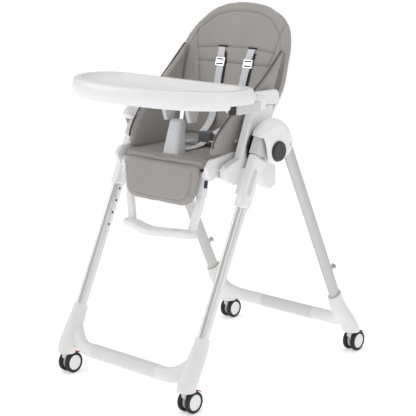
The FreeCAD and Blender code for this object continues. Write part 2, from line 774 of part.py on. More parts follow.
def side_panels():
    """The white side panels of the seat, from the armrests down to the leg rest's pivot."""
    points = [
        (10, 772), (0, 722), (22, 590), (24, 552), (4, 541), (-20, 546), (-50, 590),
        (-110, 572), (-150, 573), (-180, 590), (-182, 622), (-152, 634), (-124, 642), (-72, 772),
    ]
    corners = {1: 60, 2: 20, 3: 16, 4: 12, 5: 16, 6: 14, 7: 30, 8: 20, 9: 16, 10: 16, 12: 10}
    panel = outline_body("panel_plate", points, "panel_wide", "panel_inner", None, corners, 4)
    both_sides("side_panel", panel)


def armrests():
    """The bars that the tray slides on, and their tails along the tops of the side panels.

    The bar stands out over the front leg and ends in front of it, so the seat can slide down past the
    hinge. The tail behind it keeps to the panel's width, inside the hinge cover.
    """
    low = dim("arm_low")
    tall = dim("arm_tall")
    rear = dim("arm_rear")
    front = rear - dim("arm_long")
    points = [(front, low), (rear, low), (rear, low + tall), (front, low + tall)]
    corners = {0: 14, 1: 15, 2: 15, 3: 14}
    bar = outline_body("arm_bar", points, "arm_wide", "arm_inner", None, corners, "arm_round")
    inner = dim("panel_inner") + 4
    bridge_reach = dim("arm_inner") - inner + dim("arm_wide") / 2
    bridge_top = low + tall - 5
    bridge_points = [(rear - 38, low), (rear - 5, low), (rear - 5, bridge_top), (rear - 38, bridge_top)]
    bridge = outline_body("arm_bridge", bridge_points, bridge_reach, inner)
    end = rear + "arm_tail"
    tail_points = [(rear - 38, low), (end, low), (end, low + tall), (rear - 38, low + tall)]
    tail_wide = dim("panel_wide") - 4
    tail = outline_body("arm_tail_bar", tail_points, tail_wide, inner, None, {1: 14, 2: 15, 3: 14}, 7)
    both_sides("armrest", fused("armrest_whole", [bar, bridge, tail]))


def seat_pan():
    """The moulded pan: a floor between two side walls that reach forward over the leg rest's pivot."""
    front = dim("pan_front")
    rear = dim("pan_rear")
    low = dim("pan_floor")
    half = dim("pan_half")
    wall = dim("pan_wall")
    points = [(front + 6, low - 20), (rear, low), (rear, low + 42), (-110, low + 42),
              (front + 12, low + 32), (front - 6, low + 12)]
    corners = {0: 8, 1: 8, 2: 12, 4: 12, 5: 8}
    right_wall = outline_body("pan_wall_right", points, wall, half - wall, None, corners, 2)
    left_wall = mirrored("pan_wall_left", right_wall)
    side = dim("panel_inner") - 0.5
    floor_front = front + "pan_floor_setback"
    floor = primitive("Box", "pan_floor_plate",
                      Placement(Vector(-side.value, floor_front.value, size("pan_floor")), Rotation()),
                      Length=side * 2, Width=dim("pad_rear") + 2 - floor_front, Height="floor_thick")
    ear_start = dim("sleeve_inner") + dim("sleeve_wide") + 0.6
    spot = Placement(Vector(ear_start.value, size("leg_pivot_front"), size("leg_pivot_height")),
                     Rotation(Vector(0, 1, 0), 90))
    ear = primitive("Cylinder", "pan_ear", spot, Radius=15, Height=half - wall - ear_start + 4)
    ears = fused("pan_ears", [ear, mirrored("pan_ear_left", ear)])
    bore = primitive("Cylinder", "pan_pivot_bore", Placement(Vector(-200, size("leg_pivot_front"),
                     size("leg_pivot_height")), Rotation(Vector(0, 1, 0), 90)),
                     Radius=dim("pivot_radius") + dim("running_clearance"), Height=400)
    axle_bore = primitive("Cylinder", "pan_recline_bore", Placement(Vector(-200, size("recline_setback"),
                          size("recline_height")), Rotation(Vector(0, 1, 0), 90)),
                          Radius=dim("recline_tube") + dim("running_clearance"), Height=400)
    tube_at = Placement(Vector(-size("panel_inner"), size("cross_tube_front"), size("cross_tube_height")),
                        Rotation(Vector(0, 1, 0), 90))
    tube_long = dim("panel_inner") * 2
    tube_bore = primitive("Cylinder", "pan_tube_bore", tube_at,
                          Radius=dim("cross_tube_radius") + dim("running_clearance"), Height=tube_long)
    whole = fused("seat_pan", [right_wall, left_wall, floor, ears])
    node("seat_shell", cut("seat_pan_bored", whole, fused("pan_bores", [bore, axle_bore, tube_bore])))
    tube = primitive("Cylinder", "seat_tube", tube_at, Radius="cross_tube_radius", Height=tube_long)
    node("seat_cross_tube", tube)


def seat_cushion():
    """The seat's padding: a flat cushion between two upright wings. The fabric itself is plain here."""
    half = dim("pan_half") - dim("pan_wall") - dim("soft_gap")
    front = dim("pad_front")
    rear = dim("pad_rear")
    low = dim("pan_floor") + dim("floor_thick") + 0.3
    top = low + dim("pad_thick")
    base = [(front, low), (rear, low), (rear, top), (front, top)]
    cushion = outline_body("cushion_base", base, half * 2, -half, None, {0: 5, 3: 7})
    hem = low + dim("pad_thick") / 2
    wing_points = [(-166, hem), (-14, hem), (-8, hem + 30), (6, hem + 60), (0, hem + 150), (-36, hem + 174),
                   (-64, hem + 162), (-100, hem + 134), (-130, hem + 96), (-162, hem + 48)]
    wing = outline_body("cushion_wing", wing_points, half - "wing_inner", "wing_inner", None,
                        {4: 14, 5: 20, 6: 30, 9: 14}, 4)
    node("seat_pad", fused("seat_cushion", [cushion, wing, mirrored("cushion_wing_left", wing)]))
    return top.value


def crotch_post(seat_top):
    """The grey post between the child's legs, which leans back and tapers upwards."""
    tall = size("post_height")
    half = size("post_wide") / 2

    def section(height, half_wide, front, back):
        corners = ((-half_wide, front), (half_wide, front), (half_wide, back), (-half_wide, back),
                   (-half_wide, front))
        return Part.makePolygon([Vector(x, y, height) for x, y in corners])

    low = seat_top + 0.3
    shape = loft([section(low, half, -182, -138), section(low + tall, half * 0.74, -158, -128)])
    upright = lambda edge: abs(edge.Vertexes[0].Z - edge.Vertexes[1].Z) > tall / 2
    shape = softened(shape, 11, upright)
    shape = softened(shape, 10, lambda edge: edge.CenterOfMass.z > low + tall - 1)
    node("crotch_post", feature("post", shape))


def harness(seat_top):
    """The lap straps and their buckle."""
    def strap(start, end, wide):
        run = end - start
        sideways = Vector(1, 0, 0)
        if abs(run.z) < run.Length * 0.9:
            sideways = Vector(0, 0, 1).cross(run).normalize()
        normal = run.cross(sideways).normalize()
        turn = Rotation(run, sideways, normal, "XYZ")
        band = Part.makeBox(run.Length, wide, 2.0, Vector(0, -wide / 2, -1))
        band.Placement = Placement(start, turn)
        return band

    level = seat_top + 22
    straps = []
    for side in (-1, 1):
        lap = strap(Vector(side * 24, -22, level), Vector(side * 146, -12, seat_top + 8), 24)
        straps.append(feature("lap_strap", lap))
    crotch = strap(Vector(0, -122, seat_top + 7), Vector(0, -42, level - 6), 24)
    straps.append(feature("crotch_strap", crotch))
    node("lap_harness", group("lap_straps", straps))
    buckle = softened(Part.makeBox(46, 20, 40, Vector(-23, -40, level - 14)), 5)
    node("harness_buckle", feature("buckle", buckle))


# ---------------------------------------------------------------- backrest

def back_frame():
    """The backrest's own frame: its origin on the recline axis, its Z up the leaning back."""
    return Placement(Vector(0, size("recline_setback"), size("recline_height")),
                     Rotation(Vector(1, 0, 0), -size("back_lean")))


def back_outline(inset):
    """The backrest's front view: narrow at the seat, widest at the shoulders, round at the top."""
    half = size("back_half")
    tall = size("back_tall")
    low = size("back_low_half")
    rise = [(160, 90), (168, 125), (186, 155), (197, 185), (198.5, 225), (197, 248), (196, 271), (193, 294),
            (185, 317), (174, 341), (156, 364), (131, 387.5), (112, 399), (86, 410), (50, 418), (0, 421)]
    side = [Vector(low - inset, 0, inset + 14)]
    for x, z in rise[:-1]:
        side.append(Vector(x * (half / 197 - inset / 198.5), 0, z * tall / 418 - inset * z / 421))
    top = Vector(0, 0, 421 * tall / 418 - inset)
    left = [Vector(-point.x, 0, point.z) for point in reversed(side)]
    outline = Part.BSplineCurve()
    outline.interpolate(side + [top] + left)
    base = Part.LineSegment(left[-1], side[0])
    return Part.Wire([outline.toShape(), base.toShape()])


def back_band(front_shift, thick, long):
    """The dished section of the back, the same at every height: flat in the middle, sides forward."""
    dish = size("back_dish")
    wide = size("back_half") + 12
    front = [(0, 0), (wide * 0.52, -dish * 0.08), (wide * 0.80, -dish * 0.45), (wide, -dish)]
    half_way = [(x, y + front_shift) for x, y in front]
    edges = []
    for shift in (0, thick):
        line = [Vector(x, y + shift, -20) for x, y in half_way]
        points = [Vector(-point.x, point.y, point.z) for point in reversed(line[1:])] + line
        curve = Part.BSplineCurve()
        curve.interpolate(points)
        edges.append((curve, points))
    (near, near_points), (far, far_points) = edges
    right = Part.LineSegment(near_points[-1], far_points[-1])
    left = Part.LineSegment(far_points[0], near_points[0])
    wire = Part.Wire(Part.sortEdges([near.toShape(), right.toShape(), far.toShape(), left.toShape()])[0])
    return Part.Face(wire).extrude(Vector(0, 0, long))


def backrest():
    """A dished plastic shell with a padded cover in front of it, its straps and the recline handle."""
    frame = back_frame()
    pad_thick = size("back_pad_thick")
    shell_thick = size("back_shell_thick")
    long = size("back_tall") + 60
    shell = Part.Face(back_outline(12)).extrude(Vector(0, 200, 0)).translated(Vector(0, -100, 0))
    shell = shell.common(back_band(pad_thick + 0.3, shell_thick, long))
    back = pad_thick + shell_thick
    spine = softened(Part.makeBox(120, 14, 250, Vector(-60, back - 3, 40)), 6,
                     lambda edge: edge.CenterOfMass.y > back + 5)
    tube_half = size("pan_half") - 0.5
    tube = Part.makeCylinder(size("recline_tube"), tube_half * 2, Vector(-tube_half, 0, 0), Vector(1, 0, 0))
    lugs = []
    for side in (-1, 1):
        x = side * 120 - 8
        lugs.append(Part.makeBox(16, back + 6, 14, Vector(x, -6, -7)))
        lugs.append(Part.makeBox(16, 7, 60, Vector(x, back - 5, -7)))
    whole = shell.fuse([spine, tube] + lugs).removeSplitter()
    handle_gap = Part.makeBox(96, 10, 34, Vector(-48, back + 3.3, 236))
    shell_node = feature("back_shell", whole.cut(handle_gap))
    shell_node.Placement = frame
    node("backrest_shell", shell_node)
    pad = Part.Face(back_outline(0)).extrude(Vector(0, 200, 0)).translated(Vector(0, -100, 0))
    pad_node = feature("back_pad", pad.common(back_band(0, pad_thick, long)))
    pad_node.Placement = frame
    node("backrest_pad", pad_node)
    bands = []
    clips = []
    for side in (-1, 1):
        x = side * 52
        band = Part.makeBox(25, 1.8, 190, Vector(x - 12.5, -2.6, 92))
        bands.append(feature("shoulder_strap", band))
        clip = softened(Part.makeBox(34, 6, 26, Vector(x - 17, -9, 226)), 1.5)
        clips.append(feature("adjuster", clip))
    for thing in bands + clips:
        thing.Placement = frame
    node("shoulder_straps", group("shoulder_strap_pair", bands))
    node("strap_adjusters", group("adjuster_pair", clips))
    lever = softened(Part.makeBox(84, 9, 26, Vector(-42, back + 4, 240)), 3)
    lever_node = feature("recline_lever", lever)
    lever_node.Placement = frame
    node("recline_handle", lever_node)


# ---------------------------------------------------------------- leg rest

def leg_frame():
    """The leg rest's own frame: its origin on the pivot, its Z up the leaning arms."""
    return Placement(Vector(0, size("leg_pivot_front"), size("leg_pivot_height")),
                     Rotation(Vector(1, 0, 0), -size("leg_rest_lean")))


def leg_rest():
    """The calf plate, the sleeves at its sides that hold the foot bar's arms, and the calf pad."""
    frame = leg_frame()
    half = size("calf_half")
    thick = size("calf_plate_thick")
    tall = size("calf_tall")
    back = size("calf_pad_back")
    inner = size("sleeve_inner")
    wide = size("sleeve_wide")
    deep = size("sleeve_deep")
    long = size("sleeve_long")
    gap = size("tongue_gap")
    reach = inner - 3
    plate = softened(Part.makeBox(reach * 2, thick, tall, Vector(-reach, -back + 0.3, -tall - 6)), 3)
    shapes = [plate]
    channels = []
    for side in (-1, 1):
        x = inner if side > 0 else -inner - wide
        sleeve = Part.makeBox(wide, deep, long + 6, Vector(x, -back + 0.3, -long))
        sleeve = softened(sleeve, 6, lambda edge: edge.CenterOfMass.z > 0 and abs(edge.CenterOfMass.y) > 0.5)
        ledge = Part.makeBox(14, thick - 2, 50, Vector(side * inner - 7, -back + 1.3, -long))
        shapes += [sleeve, ledge]
        hollow = Part.makeBox(size("tongue_wide") + gap * 2, size("tongue_thick") + gap * 2, 100,
                              Vector(x + (wide - size("tongue_wide")) / 2 - gap, -back + 4.2 - gap, -106))
        channels.append(hollow)
    pin = Part.makeCylinder(size("pivot_radius"), 2 * (size("pan_half") - 0.5),
                            Vector(0.5 - size("pan_half"), 0, 0), Vector(1, 0, 0))
    body = shapes[0].fuse(shapes[1:]).cut(channels).fuse(pin).removeSplitter()
    panel = feature("calf_plate", body)
    panel.Placement = frame
    node("calf_panel", panel)
    pad_thick = size("calf_pad_thick")
    pad_corner = Vector(-half, -back - pad_thick, -tall - 8)
    pad = softened(Part.makeBox(half * 2, pad_thick, tall + 6, pad_corner), 8)
    pad = feature("calf_cushion", pad)
    pad.Placement = frame
    node("calf_pad", pad)
    foot_bar(frame)


def foot_bar(frame):
    """The foot bar: two arms that draw together downwards, and a tread that bows to the front."""
    inner = size("sleeve_inner")
    middle = inner + size("sleeve_wide") / 2
    long = size("sleeve_long")
    tongue_wide = size("tongue_wide")
    tongue_thick = size("tongue_thick")
    arm_wide = size("foot_arm_wide")
    front = -size("calf_pad_back") + 4.2
    drop = size("tread_drop")
    low = size("tread_half") - arm_wide / 2 - 6
    parts = []
    for side in (-1, 1):
        x = side * middle
        tongue_corner = Vector(x - tongue_wide / 2, front, -long - 4)
        parts.append(Part.makeBox(tongue_wide, tongue_thick, long - 8, tongue_corner))
        sections = []
        route = ((middle, -long - 2), (middle - 1, -long - 20), ((middle + low) / 2 - 1, -long - 62),
                 (low, -drop - 4))
        for centre, height in route:
            corner = Vector(side * centre - arm_wide / 2, front - 2, height)
            sections.append(Part.makePolygon([
                corner, corner + Vector(arm_wide, 0, 0), corner + Vector(arm_wide, size("foot_arm_thick"), 0),
                corner + Vector(0, size("foot_arm_thick"), 0), corner]))
        arm = Part.makeLoft(sections, True, False)
        parts.append(softened(arm, 4, lambda edge: abs(edge.Vertexes[0].Z - edge.Vertexes[-1].Z) > 30))
    half = size("tread_half")
    bow = size("tread_bow")
    deep = size("tread_deep")
    thick = size("tread_thick")
    level = Rotation(Vector(1, 0, 0), size("leg_rest_lean"))
    nose = Part.BSplineCurve()
    nose.interpolate([Vector(-half, 8, 0), Vector(-half - 2, -10, 0), Vector(-half * 0.7, -bow * 0.62, 0),
                      Vector(0, -bow - 12, 0), Vector(half * 0.7, -bow * 0.62, 0), Vector(half + 2, -10, 0),
                      Vector(half, 8, 0)])
    heel = Part.BSplineCurve()
    heel.interpolate([Vector(half, 8, 0), Vector(half * 0.72, 10, 0), Vector(0, -bow - 12 + deep, 0),
                      Vector(-half * 0.72, 10, 0), Vector(-half, 8, 0)])
    tread = Part.Face(Part.Wire([nose.toShape(), heel.toShape()])).extrude(Vector(0, 0, -thick))
    tread = softened(tread, 7)
    tread.Placement = Placement(Vector(0, 0, -drop), level)
    bar = feature("foot_bar_body", parts[0].fuse(parts[1:] + [tread]).removeSplitter())
    bar.Placement = frame
    node("foot_bar", bar)
    outer = inner + size("sleeve_wide")
    button = softened(Part.makeBox(3.2, 11, 20, Vector(outer + 0.3, -4, -37)), 1.2)
    button = feature("foot_button", button)
    button.Placement = frame
    node("foot_bar_buttons", group("foot_button_pair", [button, mirrored("foot_button_mirror", button)]))


# ---------------------------------------------------------------- tray

def tray_wire(height, inset):
    """The tray's outline from above: a bowed front, full corners, and lobes over the armrests."""
    half = size("tray_half") - inset
    front = size("tray_front") + inset
    rear = size("tray_rear") - inset
    length = rear - front
    shape = [
        (0, front), (half * 0.46, front + length * 0.045), (half * 0.74, front + length * 0.17),
        (half * 0.90, front + length * 0.35), (half * 0.99, front + length * 0.61),
        (half * 0.965, front + length * 0.85), (half * 0.85, rear - 6), (half * 0.6, rear), (0, rear + 2),
    ]
    points = [Vector(x, y, height) for x, y in shape]
    points += [Vector(-x, y, height) for x, y in reversed(shape[1:-1])]
    return smooth_wire(points)


def tray():
    """The tray: a deep rounded skirt, a rim and a well, hollow below, with channels for the armrests."""
    low = size("tray_bottom")
    top = low + size("tray_tall")
    floor = size("tray_floor")
    wall = size("tray_wall")
    rim = size("tray_rim")
    outer = loft([tray_wire(low, 6), tray_wire(low + 18, 0), tray_wire(top, 5)])
    brim = [edge for edge in outer.Edges if edge.CenterOfMass.z > top - 0.5 and edge.Closed]
    outer = outer.makeFillet(7, brim)
    well = loft([tray_wire(floor + wall, rim + 6), tray_wire(top + 0.5, rim)])
    under = loft([tray_wire(low - 0.5, 6 + wall), tray_wire(low + 14, 1 + wall), tray_wire(floor, 3 + wall)])
    shape = outer.cut(well).cut(under)
    arm_low = size("arm_low")
    channels = []
    for side in (-1, 1):
        inner = size("arm_inner") - 2.5
        outer_x = size("arm_inner") + size("arm_wide") + 2.5
        x = inner if side > 0 else -outer_x
        arm_top = arm_low + size("arm_tall")
        arm_front = size("arm_rear") - size("arm_long") - 4
        channels.append(box_between((x, arm_front, arm_low - 20), (x + outer_x - inner, 20, arm_top + 2)))
        nook = inner if side > 0 else -size("tray_half") - 5
        nook_end = nook + size("tray_half") + 5 - inner
        channels.append(box_between((nook, -250, low - 5), (nook_end, -100, low + 11)))
    shape = shape.cut(channels)
    node("tray", feature("tray_shell", shape))
    gap = size("insert_gap")
    thick = size("insert_thick")
    dish = loft([tray_wire(floor + wall + 0.3, rim + 6 + gap), tray_wire(top - 5, rim + 1.2 + gap)])
    hollow = loft([tray_wire(floor + wall + 0.3 + thick, rim + 6 + gap + thick),
                   tray_wire(top - 4.5, rim + 1 + gap + thick)])
    node("tray_insert", feature("insert_dish", dish.cut(hollow)))
    lever_points = [(-214, low - 17), (-120, low - 17), (-120, low + 10.5), (-214, low + 10.5)]
    levers = outline_body("release_lever", lever_points, 12, dim("arm_inner") + dim("arm_wide") + 3, None,
                          {0: 13, 3: 9}, 3)
    both_sides("tray_release", levers)
    claw_points = [(-234, low - 14), (-215, low - 16), (-215, low + 8), (-240, low + 8)]
    beside_arm = dim("arm_inner") + dim("arm_wide") + 3
    claw = outline_body("tray_claw_plate", claw_points, 9, beside_arm, None, {0: 5})
    prongs = []
    for side in (-1, 1):
        x = side * size("prong_side")
        sections = ((low - 68, 6, -146, -122), (low - 40, 7, -154, -114), (floor - 0.3, 8, -160, -118))
        wires = []
        for z, half, near, far in sections:
            corners = ((x - half, near), (x + half, near), (x + half, far), (x - half, far), (x - half, near))
            wires.append(Part.makePolygon([Vector(a, b, z) for a, b in corners]))
        prong = Part.makeLoft(wires, True, True)
        prongs.append(feature("tray_prong", prong))
    claws = [claw, mirrored("tray_claw_mirror", claw)]
    node("tray_bracket", cut("tray_bracket_cut", group("tray_prongs", prongs + claws), NODES["tray"]))


front_legs()
rear_legs()
feet()
casters()
knuckles()
rear_fittings(housings())
carriages()
side_panels()
armrests()
seat_pan()
SEAT_TOP = seat_cushion()
crotch_post(SEAT_TOP)
harness(SEAT_TOP)
backrest()
leg_rest()
tray()
doc.recompute()

for thing in doc.Objects:
    if "Invalid" in thing.State or "Error" in thing.State:
        raise RuntimeError(f"{thing.Name} did not build: {thing.State}")

os.makedirs("parts", exist_ok=True)
for name, thing in NODES.items():
    shape = thing.Shape
    if shape.isNull() or not shape.isValid():
        raise RuntimeError(f"{name} has no valid shape")
    shape.exportStep(f"parts/{name}.step")
    print(f"{name}: {len(shape.Solids)} solid(s), {shape.Volume / 1000:.1f} cm3")
print(f"{len(NODES)} nodes")
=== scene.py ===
# %% [markdown]
# # A folding baby high chair
# The chair's sizes are settled: two crossed tube frames on casters, a seat that slides on the front
# legs, a reclining back, a leg rest and a tray. What is left is how it looks. Hard parts keep their
# shape and get a finish. The padded cover, the straps and the trim are modelled here.

# %% Load the frame
import bpy
import bmesh
import math
from mathutils import Matrix, Vector
from mathutils.bvhtree import BVHTree
from mathutils.kdtree import KDTree


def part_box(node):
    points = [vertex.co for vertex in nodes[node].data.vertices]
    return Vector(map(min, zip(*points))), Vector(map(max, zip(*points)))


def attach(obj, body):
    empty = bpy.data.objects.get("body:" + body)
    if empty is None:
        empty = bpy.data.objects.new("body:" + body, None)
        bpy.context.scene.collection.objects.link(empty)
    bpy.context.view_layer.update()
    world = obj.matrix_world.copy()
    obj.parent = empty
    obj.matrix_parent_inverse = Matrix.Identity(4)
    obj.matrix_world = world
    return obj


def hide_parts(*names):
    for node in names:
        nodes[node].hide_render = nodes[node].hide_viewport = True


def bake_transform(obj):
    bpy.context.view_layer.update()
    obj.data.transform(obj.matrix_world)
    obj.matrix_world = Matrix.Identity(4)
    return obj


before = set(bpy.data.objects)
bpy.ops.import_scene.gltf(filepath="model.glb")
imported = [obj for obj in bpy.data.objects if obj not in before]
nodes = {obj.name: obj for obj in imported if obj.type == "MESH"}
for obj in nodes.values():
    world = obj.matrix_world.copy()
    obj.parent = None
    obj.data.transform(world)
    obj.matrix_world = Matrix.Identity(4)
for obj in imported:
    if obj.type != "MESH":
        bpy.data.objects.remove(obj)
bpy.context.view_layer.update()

# %% [markdown]
# ## Camera, floor and light
# The chair is seen from its front right, a little above, from far enough away that the legs stay
# nearly parallel. The room is a pale studio: one wide floor and big soft lamps, so white plastic
# keeps its edges through soft shading and not through hard shadows.

# %% Camera
AZIMUTH = math.radians(42.5)
ELEVATION = math.radians(12.6)
DISTANCE = 3.7125
TARGET = Vector((0.0, -0.0218, 0.459))

back = Vector((
    math.sin(AZIMUTH) * math.cos(ELEVATION),
    -math.cos(AZIMUTH) * math.cos(ELEVATION),
    math.sin(ELEVATION),
))
bpy.ops.object.select_all(action="DESELECT")
bpy.ops.object.camera_add(location=TARGET + back * DISTANCE)
camera = bpy.context.object
camera.name = "camera"
camera.rotation_euler = (-back).to_track_quat("-Z", "Y").to_euler()
camera.data.lens = 113.0
camera.data.sensor_width = 36.0
camera.data.clip_end = 50
bpy.context.scene.camera = camera
bpy.context.scene.view_settings.view_transform = "Standard"
print("camera at", [round(value, 3) for value in camera.location])


# %% Colour and node helpers
def linear(code):
    """A colour written as an sRGB hex value, turned to the linear values that shaders use."""
    parts = [int(code[at:at + 2], 16) / 255 for at in (0, 2, 4)]
    return [c / 12.92 if c <= 0.04045 else ((c + 0.055) / 1.055) ** 2.4 for c in parts] + [1.0]


def add(material, kind, links=None, values=None, **settings):
    """Add one shader node, set what it needs and link its inputs."""
    made = material.node_tree.nodes.new(kind)
    for name, value in settings.items():
        setattr(made, name, value)
    for name, value in (values or {}).items():
        made.inputs[name].default_value = value
    for name, source in (links or {}).items():
        material.node_tree.links.new(source, made.inputs[name])
    return made


def shader(name, colour, **values):
    """Start a material: its surface shader with its plain values, and the object's own coordinates."""
    material = bpy.data.materials.new(name)
    material.use_nodes = True
    surface = material.node_tree.nodes["Principled BSDF"]
    surface.inputs["Base Color"].default_value = linear(colour)
    for key, value in values.items():
        surface.inputs[key.replace("_", " ")].default_value = value
    place = add(material, "ShaderNodeTexCoord")
    return material, surface, place.outputs["Object"]


def connect(material, source, surface, socket):
    material.node_tree.links.new(source, surface.inputs[socket])


# %% Floor and lamps
bpy.ops.mesh.primitive_plane_add(size=40, location=(0, 0, -0.0005))
floor = bpy.context.object
floor.name = "studio_floor"
paper, paper_surface, _ = shader("studio paper", "fbfbfb", Roughness=0.9)
paper_surface.inputs["Emission Color"].default_value = (1, 1, 1, 1)
paper_surface.inputs["Emission Strength"].default_value = 0.385
floor.data.materials.append(paper)

world = bpy.data.worlds.new("studio")
bpy.context.scene.world = world
world.use_nodes = True
world.node_tree.nodes["Background"].inputs["Color"].default_value = (1, 1, 1, 1)
world.node_tree.nodes["Background"].inputs["Strength"].default_value = 0.62


def lamp(name, place, aim, side, power):
    """A square soft box that points at a place on the chair."""
    bpy.ops.object.light_add(type="AREA", location=place)
    made = bpy.context.object
    made.name = name
    made.data.size = side
    made.data.energy = power
    made.rotation_euler = (Vector(aim) - Vector(place)).to_track_quat("-Z", "Y").to_euler()
    return made


lamp("top_light", (0.2, -0.6, 3.4), (0, 0, 0.5), 2.6, 21)
lamp("left_light", (-3.0, -2.2, 1.9), (0, 0, 0.6), 1.8, 17)
lamp("right_light", (3.2, -1.2, 1.4), (0, 0, 0.6), 1.4, 5)

# %% [markdown]
# ## White moulded plastic
# The housings, side panels, armrests, feet and tray are injection moulded polypropylene and ABS in
# glossy white. The mould leaves a faint orange-peel waviness, which breaks the reflections up. It is
# about 4 mm across, drawn with a soft noise bump, and the gloss varies a little with handling.


# %% Moulded plastic
def moulded(name, colour, rough, peel=0.03, size_mm=4.0, coat=0.0):
    material, surface, place = shader(name, colour, Roughness=rough, IOR=1.49, Coat_Weight=coat)
    wave = add(material, "ShaderNodeTexNoise", {"Vector": place}, {"Scale": 1000 / size_mm, "Detail": 2.0})
    bump = add(material, "ShaderNodeBump", {"Height": wave.outputs["Fac"]},
               {"Strength": peel, "Distance": 0.0006})
    connect(material, bump.outputs["Normal"], surface, "Normal")
    wear = add(material, "ShaderNodeTexNoise", {"Vector": place}, {"Scale": 1000 / 60, "Detail": 4.0})
    spread = add(material, "ShaderNodeMapRange", {"Value": wear.outputs["Fac"]},
                 {"From Min": 0.3, "From Max": 0.7, "To Min": rough * 0.85, "To Max": rough * 1.25})
    connect(material, spread.outputs["Result"], surface, "Roughness")
    return material


white_plastic = moulded("glossy white ABS", "eeeeef", 0.24, coat=0.25)
foot_plastic = moulded("white polypropylene", "e7e7e6", 0.32)
grey_plastic = moulded("light grey polypropylene", "d4d5d6", 0.36)
liner_plastic = moulded("satin white tray liner", "f0f0ef", 0.38, peel=0.06, size_mm=2.5)
black_plastic = moulded("black nylon", "17171a", 0.42)
button_plastic = moulded("glossy black ABS", "0e0e10", 0.14, peel=0.015, coat=0.4)
buckle_plastic = moulded("grey acetal", "66676a", 0.38)
brake_plastic = moulded("red polypropylene", "c22a26", 0.35)
tyre_rubber = moulded("black caster rubber", "1d1d1e", 0.62, peel=0.10, size_mm=1.5)

# %% [markdown]
# ## Two-tone mouldings
# One piece joins the grey prongs under the tray with the black claws that grip the armrests. There
# the colour changes where one material ends, so it is picked by how far out a place is. The hinge
# cover's inner cheek is painted near black within a set distance of the hinge: painted shade.


# %% Two-tone plastics
def measure(material, kind, first, second=0.0):
    made = add(material, "ShaderNodeMath", operation=kind)
    for at, value in enumerate((first, second)):
        if isinstance(value, (int, float)):
            made.inputs[at].default_value = value
        else:
            material.node_tree.links.new(value, made.inputs[at])
    return made.outputs["Value"]


def two_tone(material, surface, where, near, far):
    mix = add(material, "ShaderNodeMix", data_type="RGBA")
    material.node_tree.links.new(where, mix.inputs["Factor"])
    mix.inputs["A"].default_value = linear(near)
    mix.inputs["B"].default_value = linear(far)
    material.node_tree.links.new(mix.outputs["Result"], surface.inputs["Base Color"])


def parts_of(material, place):
    split = add(material, "ShaderNodeSeparateXYZ", {"Vector": place})
    return measure(material, "ABSOLUTE", split.outputs["X"]), split.outputs["Y"], split.outputs["Z"]


bracket_plastic = moulded("grey and black nylon", "d4d5d6", 0.36)
surface = bracket_plastic.node_tree.nodes["Principled BSDF"]
place = bracket_plastic.node_tree.nodes["Texture Coordinate"].outputs["Object"]
out, _, _ = parts_of(bracket_plastic, place)
two_tone(bracket_plastic, surface, measure(bracket_plastic, "GREATER_THAN", out, 0.15), "d4d5d6", "131315")

housing_plastic = moulded("white hinge cover ABS", "f0f0f1", 0.22, coat=0.3)
surface = housing_plastic.node_tree.nodes["Principled BSDF"]
place = housing_plastic.node_tree.nodes["Texture Coordinate"].outputs["Object"]
out, along, up = parts_of(housing_plastic, place)
HINGE = (-0.0408, 0.658)
away = measure(housing_plastic, "SQRT", measure(
    housing_plastic, "ADD",
    measure(housing_plastic, "POWER", measure(housing_plastic, "SUBTRACT", along, HINGE[0]), 2.0),
    measure(housing_plastic, "POWER", measure(housing_plastic, "SUBTRACT", up, HINGE[1]), 2.0)))
# Painted shade: the inner cheek is made near black within 64.6 mm of the hinge, for the shadow inside the
# cover.
inside = measure(housing_plastic, "MULTIPLY", measure(housing_plastic, "LESS_THAN", away, 0.0646),
                 measure(housing_plastic, "LESS_THAN", out, 0.2188))
two_tone(housing_plastic, surface, inside, "f0f0f1", "1a1a1c")

# %% [markdown]
# ## Metals
# The legs are oval aluminium tube. The front pair is anodised satin and carries the slides, so it is
# brighter; the rear pair is matt. The two crossbars are painted light grey. Extruding draws fine lines
# along the tube. They
# are a noise stretched along the leg's lean, about 1.5 mm across so that they show.


# %% Metals
def drawn_metal(name, colour, rough, lean):
    """Extruded or drawn metal, with its fine lines along the tube."""
    material, surface, place = shader(name, colour, Metallic=1.0, Roughness=rough)
    turn = add(material, "ShaderNodeMapping", {"Vector": place}, {"Rotation": (math.radians(lean), 0, 0)})
    stretch = add(material, "ShaderNodeMapping", {"Vector": turn.outputs["Vector"]}, {"Scale": (650, 650, 6)})
    lines = add(material, "ShaderNodeTexNoise", {"Vector": stretch.outputs["Vector"]},
                {"Scale": 1.0, "Detail": 3.0, "Roughness": 0.6})
    spread = add(material, "ShaderNodeMapRange", {"Value": lines.outputs["Fac"]},
                 {"To Min": rough * 0.7, "To Max": rough * 1.35})
    connect(material, spread.outputs["Result"], surface, "Roughness")
    bump = add(material, "ShaderNodeBump", {"Height": lines.outputs["Fac"]},
               {"Strength": 0.08, "Distance": 0.0003})
    connect(material, bump.outputs["Normal"], surface, "Normal")
    return material


front_metal = drawn_metal("anodised aluminium tube", "dcdbd9", 0.30, 24.9)
rear_metal = drawn_metal("matt anodised aluminium tube", "c9c8c6", 0.46, -26.4)
front_bar_paint = moulded("light grey painted steel", "dededd", 0.40, peel=0.05, size_mm=2.0)
rear_bar_paint = moulded("matt light grey painted steel", "d9d9d8", 0.52, peel=0.05, size_mm=2.0)
zinc = drawn_metal("bright zinc-plated steel", "c4c6c8", 0.22, 0)
chrome = drawn_metal("chrome-plated steel", "dfe0e2", 0.10, 0)

black_steel, steel_surface, place = shader("black powder-coated steel", "1a1a1c", Roughness=0.5)
grit = add(black_steel, "ShaderNodeTexNoise", {"Vector": place}, {"Scale": 900.0, "Detail": 2.0})
texture = add(black_steel, "ShaderNodeBump", {"Height": grit.outputs["Fac"]},
              {"Strength": 0.12, "Distance": 0.0004})
connect(black_steel, texture.outputs["Normal"], steel_surface, "Normal")

